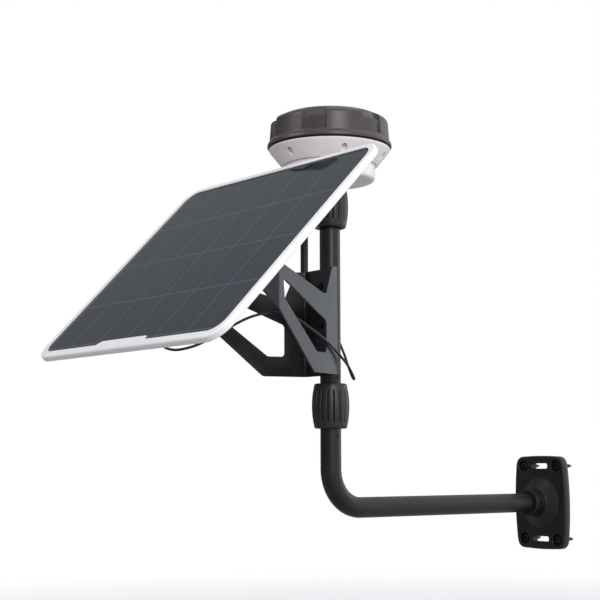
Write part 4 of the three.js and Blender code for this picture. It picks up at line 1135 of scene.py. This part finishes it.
def lower_housing():
    """Cone between the cup and the cap, with a sunk pocket for each screw."""
    foot = CUP_TOP + GAP
    shell = spun(softened([
        (CUP_R - 3, foot, 0.5),
        (HOUSING_FOOT_R, foot, 1.5),
        (HOUSING_R - 0.8, HOUSING_TOP - 2.8, 2.5),
        (HOUSING_R, HOUSING_TOP, 0.6),
        (HOUSING_R - 14.3, HOUSING_TOP, 0.5),
        (HOUSING_FOOT_R - 5, foot + 3, 1),
        (CUP_R - 3, foot + 3, 0.5),
    ], step=12), 180)
    tools = []
    seat = HOUSING_TOP - 4.5
    for lobe in range(LOBES):
        angle = FIRST_RECESS + (lobe + 0.5) * 360 / LOBES
        spot = Matrix.Rotation(math.radians(angle), 4, "Z") @ Matrix.Translation((HOUSING_SCREW_R, 0, 0))
        tools.append(moved(rod(4.2, foot - 5, seat, 40), spot))
        tools.append(moved(rod(1.9, foot, HOUSING_TOP + 2, 24), spot))
        head = [(3, 0, 0.2), (3, 1.5, 0.9)]
        made = screw(head, point=0.6, shank=1.6, length=4.2, drive=1.2, drive_depth=1.2)
        upside_down = TO_MAST @ spot @ turned_to("X", 180, (0, 0, seat - GAP))
        piece(f"housing_screw_{lobe + 1}", made, BLACK_STEEL, place=upside_down)
    piece("lower_housing", combined(shell, tools), WHITE_PLASTIC, place=TO_MAST, smooth=30)


def base_cup():
    """Round cup under the head, with the threaded neck that goes down into the upper collar."""
    neck_bottom = box("base_cup")[0].z
    cup = spun(softened([
        (TUBE_R + GAP, neck_bottom, 0.3),
        (SLEEVE_R, neck_bottom, 0.8),
        (SLEEVE_R, CUP_BOTTOM - 4, 0),
        (SLEEVE_R + 6, CUP_BOTTOM, 2),
        (CUP_R - 0.4, CUP_BOTTOM, 5),
        (CUP_R, CUP_TOP, 0.5),
        (CUP_R - 3, CUP_TOP, 0.5),
        (CUP_R - 3, CUP_BOTTOM + 4, 3),
        (TUBE_R + GAP, CUP_BOTTOM + 4, 0.5),
    ], step=9), 144)
    stem = middle_of("whip_antenna")
    hole = moved(rod(4.3, CUP_BOTTOM - 2, CUP_BOTTOM + 6), Matrix.Translation((stem.x, stem.y - MAST_Y, 0)))
    piece("base_cup", combined(cup, [hole]), WHITE_PLASTIC, place=TO_MAST, smooth=30)


def head_insides():
    """Gasket, boards, antenna element and battery pack."""
    gasket_low, gasket_high = box("head_gasket")
    made = tube_ring(CAP_R - 9, gasket_high.x, gasket_low.z, gasket_high.z, 144, 0.35)
    piece("head_gasket", made, RUBBER, place=TO_MAST)
    for node, finish in (("main_board", BOARD), ("ground_plane", STEEL)):
        low, high = box(node)
        piece(node, eased_rod(high.x, low.z, high.z, 0.3, 0.3, 96), finish, place=TO_MAST)
    refined("patch_element", CERAMIC, 0.6)
    refined("battery_pack", BATTERY_WRAP, 3.0)


WHIP_R = 5.5
WHIP_FOOT_R = WHIP_R + 0.8


def whip():
    """Whip antenna that hangs from a connector in the cup's floor."""
    low, high = box("whip_antenna")
    middle = middle_of("whip_antenna")
    spot = Matrix.Translation((middle.x, middle.y, 0))
    stem = softened([
        (0, low.z, 0),
        (WHIP_R - 1, low.z, 1.8),
        (WHIP_R - 0.3, low.z + 8, 0),
        (WHIP_R, high.z - 32, 0),
        (WHIP_FOOT_R, high.z - 27, 0.6),
        (WHIP_FOOT_R, high.z, 0.6),
        (0, high.z, 0),
    ], False)
    piece("whip_antenna", spun(stem, 48), WHIP_PLASTIC, place=spot)
    low, high = box("whip_connector")
    nut_top = CUP_BOTTOM - GAP
    nut = hexagon(13.6, low.z, low.z + 6)
    barrel = spun(softened([
        (0, low.z + 5, 0),
        (6.4, low.z + 5, 0.3),
        (6.4, nut_top - 2.2, 0.3),
        (7.4, nut_top - 2.2, 0.3),
        (7.4, nut_top, 0.3),
        (4, nut_top, 0),
        (4, high.z, 0.5),
        (0, high.z, 0),
    ], False, 25), 48)
    piece("whip_connector", combined(nut, [barrel], "UNION"), STEEL, place=spot)


# ------------------------------------------------------------------ solar panel

GLASS_W = 390
GLASS_L = 335
GLASS_CORNER = 20
FRAME_SIDE = 8.5
FRAME_TOP = 9
FRAME_BOTTOM = 11.5
FRAME_DEPTH = 7
FRAME_LIP = 1.5
FRAME_CORNER = 27
LIP_OVERLAP = 2.5
TAB_LEFT, TAB_RIGHT, TAB_HEIGHT = -61, 49, 6.5
SHEET_W = GLASS_W + 2 * LIP_OVERLAP
SHEET_L = GLASS_L + 2 * LIP_OVERLAP
CELLS_T = 0.8
BACK_T = 1.8
LUG_SCREW_LENGTH = 5.5
LUG_SCREW_HEAD = 2.2
LID_T = 3


def lip_opening():
    """The frame's opening, with the tab that its lip throws out over the lower edge of the glass."""
    x, y, c = GLASS_W / 2, GLASS_L / 2, GLASS_CORNER
    return softened([
        (x, y, c),
        (-x, y, c),
        (-x, -y, c),
        (TAB_LEFT, -y, 2),
        (TAB_LEFT + 9, TAB_HEIGHT - y, 2.5),
        (TAB_RIGHT - 2, TAB_HEIGHT - y, 1.2),
        (TAB_RIGHT, -y, 0.8),
        (x, -y, c),
    ], step=7)


def panel_frame():
    """Moulded surround: a round outer edge, a lip over the glass and a pocket for the laminate."""
    width = GLASS_W + 2 * FRAME_SIDE
    length = GLASS_L + FRAME_TOP + FRAME_BOTTOM
    shift = (FRAME_TOP - FRAME_BOTTOM) / 2
    outline = rounded_rect(width, length, FRAME_CORNER, 0, shift, step=6)
    slab = prism(outline, -FRAME_DEPTH, FRAME_LIP)
    for height, ease in ((FRAME_LIP, 2.6), (-FRAME_DEPTH, 1.6)):
        ease_rim(slab, height, ease, 6)
    pocket = rounded_rect(SHEET_W + 2 * GAP, SHEET_L + 2 * GAP, GLASS_CORNER + LIP_OVERLAP, step=7)
    tools = [prism(pocket, -FRAME_DEPTH - 1, 0), prism(lip_opening(), -1, FRAME_LIP + 1)]
    piece("panel_frame", combined(slab, tools), FRAME_PAINT, place=TO_PANEL, bevel=0.25, smooth=30)


def laminate():
    """Glass, cell sheet and back sheet, one behind the other."""
    outline = rounded_rect(SHEET_W, SHEET_L, GLASS_CORNER + LIP_OVERLAP - GAP)
    top = -GAP
    for node, thickness, finish in (
        ("glass_cover", GLASS_T, PANEL_GLASS),
        ("cell_sheet", CELLS_T, SOLAR_CELLS),
        ("back_sheet", BACK_T, WHITE_SHEET),
    ):
        piece(node, prism(outline, top - thickness, top), finish, place=TO_PANEL, bevel=0.2)
        top -= thickness + GAP


def panel_back():
    """Rails, hinge lugs, junction box and its cable gland."""
    into_panel = TO_PANEL.inverted()
    for name in ("left", "right"):
        refined(f"back_rail_{name}", RAIL_ALUMINIUM, 0.6)
        refined(f"hinge_lug_{name}", RAIL_ALUMINIUM, 0.6)
        for end in ("lower", "upper"):
            node = f"lug_screw_{name}_{end}"
            middle = into_panel @ middle_of(node)
            seat = middle.z - LUG_SCREW_LENGTH / 2 + LUG_SCREW_HEAD
            head = [(4, 0, 0.2), (4, 1.2, 0), (2.4, LUG_SCREW_HEAD, 0.6)]
            shank_length = LUG_SCREW_LENGTH - LUG_SCREW_HEAD
            made = screw(head, point=0.5, shank=2, length=shank_length, drive=1.3, drive_depth=1.4)
            down = turned_to("X", 180, (middle.x, middle.y, seat))
            piece(node, made, STEEL, place=TO_PANEL @ down)
    refined("junction_box", NUT_PLASTIC, 0.8)
    refined("junction_box_lid", NUT_PLASTIC, 0.8)
    middle = into_panel @ middle_of("cable_gland")
    lid = into_panel @ middle_of("junction_box_lid")
    tip = into_panel @ (Vector((0, MAST_Y, ARM_TOP)) + Vector(CABLE_ROUTE[0]) / MM)
    seat = lid.z - LID_T / 2 - GAP
    bore = CABLE_R + GAP
    made = spun(softened([
        (bore, tip.z - 0.2, 0.3),
        (CABLE_R + 1.6, tip.z - 0.2, 0.6),
        (4.8, tip.z + 5, 0.8),
        (6, tip.z + 6, 0.6),
        (6, seat, 0.4),
        (4.5, seat, 0),
        (4.5, seat + 7, 0.4),
        (bore, seat + 7, 0.2),
    ], step=20), 48)
    grips = []
    for angle in range(0, 360, 45):
        cutter = moved(rod(1.0, tip.z + 6.5, seat - 1, 12), Matrix.Translation((6.5, 0, 0)))
        grips.append(moved(cutter, Matrix.Rotation(math.radians(angle), 4, "Z")))
    place = TO_PANEL @ Matrix.Translation((0, middle.y, 0))
    piece("cable_gland", combined(made, grips), NUT_PLASTIC, place=place)


# ------------------------------------------------------------------ studio

FLOOR_Z = -0.36
FLOOR_FAINTNESS = 0.75  # how little of the floor shows in reflections
SKY_BRIGHT_WAY = Vector((0.62, 0.42, 0.66))
SKY_ENDS = (0.14, 1.2)  # light from the dark side and from the bright side
SKY_STEPS = ((0.3, 0.24), (0.58, 0.46), (0.8, 0.82))  # place between the two sides, and light


def sky_colour(light):
    return (light * 0.96, light, light * 1.06, 1)


def add_floor():
    """Pale floor that fades into the backdrop a few metres out."""
    bm = bmesh.new()
    bmesh.ops.create_circle(bm, cap_ends=True, segments=96, radius=9)
    floor = bpy.data.objects.new("floor", bpy.data.meshes.new("floor"))
    bm.to_mesh(floor.data)
    bm.free()
    bpy.context.scene.collection.objects.link(floor)
    floor.location.z = FLOOR_Z
    pale = Finish("studio_floor", "")
    clouds = pale.noise(pale.place(), 400, 2)
    pale.colour(pale.mix(pale.remap(clouds, 0, 1), srgb(243, 243, 244), srgb(248, 248, 249)))
    pale.roughness(pale.remap(clouds, 0.75, 0.85))
    clear = pale.node("ShaderNodeBsdfTransparent")
    blend = pale.node("ShaderNodeMixShader")
    length = pale.node("ShaderNodeVectorMath", operation="LENGTH")
    pale.link(pale.place(), length.inputs[0])
    fade = pale.remap(length.outputs["Value"], 0, 1, 1.4, 3.2)
    seen = pale.node("ShaderNodeLightPath").outputs["Is Camera Ray"]
    faint = pale.math("SUBTRACT", FLOOR_FAINTNESS, pale.math("MULTIPLY", seen, FLOOR_FAINTNESS))
    pale.link(pale.math("MAXIMUM", fade, faint), blend.inputs["Fac"])
    pale.link(pale.shader.outputs["BSDF"], blend.inputs[1])
    pale.link(clear.outputs["BSDF"], blend.inputs[2])
    pale.link(blend.outputs["Shader"], pale.tree.nodes["Material Output"].inputs["Surface"])
    floor.data.materials.append(pale.material)


def add_surroundings():
    """White backdrop for the camera, and a brighter and a darker side for light and reflections."""
    world = bpy.data.worlds.new("studio")
    bpy.context.scene.world = world
    world.use_nodes = True
    nodes, links = world.node_tree.nodes, world.node_tree.links
    backdrop = nodes["Background"]
    backdrop.inputs["Color"].default_value = (1, 1, 1, 1)
    sky = nodes.new("ShaderNodeBackground")
    way = nodes.new("ShaderNodeTexCoord")
    lean = nodes.new("ShaderNodeVectorMath")
    lean.operation = "DOT_PRODUCT"
    lean.inputs[1].default_value = SKY_BRIGHT_WAY.normalized()
    links.new(way.outputs["Generated"], lean.inputs[0])
    span = nodes.new("ShaderNodeMapRange")
    span.inputs["From Min"].default_value = -1
    links.new(lean.outputs["Value"], span.inputs["Value"])
    ramp = nodes.new("ShaderNodeValToRGB")
    links.new(span.outputs["Result"], ramp.inputs["Fac"])
    stops = ramp.color_ramp.elements
    for stop, light in zip(stops, SKY_ENDS):
        stop.color = sky_colour(light)
    for place, light in SKY_STEPS:
        stops.new(place).color = sky_colour(light)
    links.new(ramp.outputs["Color"], sky.inputs["Color"])
    path = nodes.new("ShaderNodeLightPath")
    pick = nodes.new("ShaderNodeMixShader")
    links.new(path.outputs["Is Camera Ray"], pick.inputs["Fac"])
    links.new(sky.outputs["Background"], pick.inputs[1])
    links.new(backdrop.outputs["Background"], pick.inputs[2])
    links.new(pick.outputs["Shader"], nodes["World Output"].inputs["Surface"])


def add_softbox(name, place, aim, size, power, tint=(1, 1, 1)):
    light = bpy.data.lights.new(name, "AREA")
    light.shape = "RECTANGLE"
    light.size, light.size_y = size
    light.energy = power
    light.color = tint
    lamp = bpy.data.objects.new(name, light)
    bpy.context.scene.collection.objects.link(lamp)
    lamp.location = place
    lamp.visible_camera = False
    lamp.rotation_mode = "QUATERNION"
    lamp.rotation_quaternion = (Vector(aim) - Vector(place)).to_track_quat("-Z", "Y")


# ------------------------------------------------------------------ assembly

wall_plate()
wall_screws()
arm_tube()
small_turned_parts()
collars()
mast_tube()
cable_grommet()
panel_bracket()
bracket_fasteners()
head_cap()
lower_housing()
base_cup()
head_insides()
whip()
panel_frame()
laminate()
panel_back()

add_floor()
add_surroundings()
add_softbox("key", (2.6, -1.5, 1.3), (0, -0.4, 0.3), (0.9, 1.6), 30, (1, 0.94, 0.93))
add_softbox("front", (-0.9, -3.0, 2.2), (0, -0.4, 0.3), (1.4, 1.0), 23, (1, 0.97, 0.96))
add_softbox("wall_side", (0.5, 2.6, 0.5), (0, -0.4, 0.2), (1.4, 1.6), 8, (0.92, 0.97, 1))

bpy.context.scene.view_settings.view_transform = "Standard"
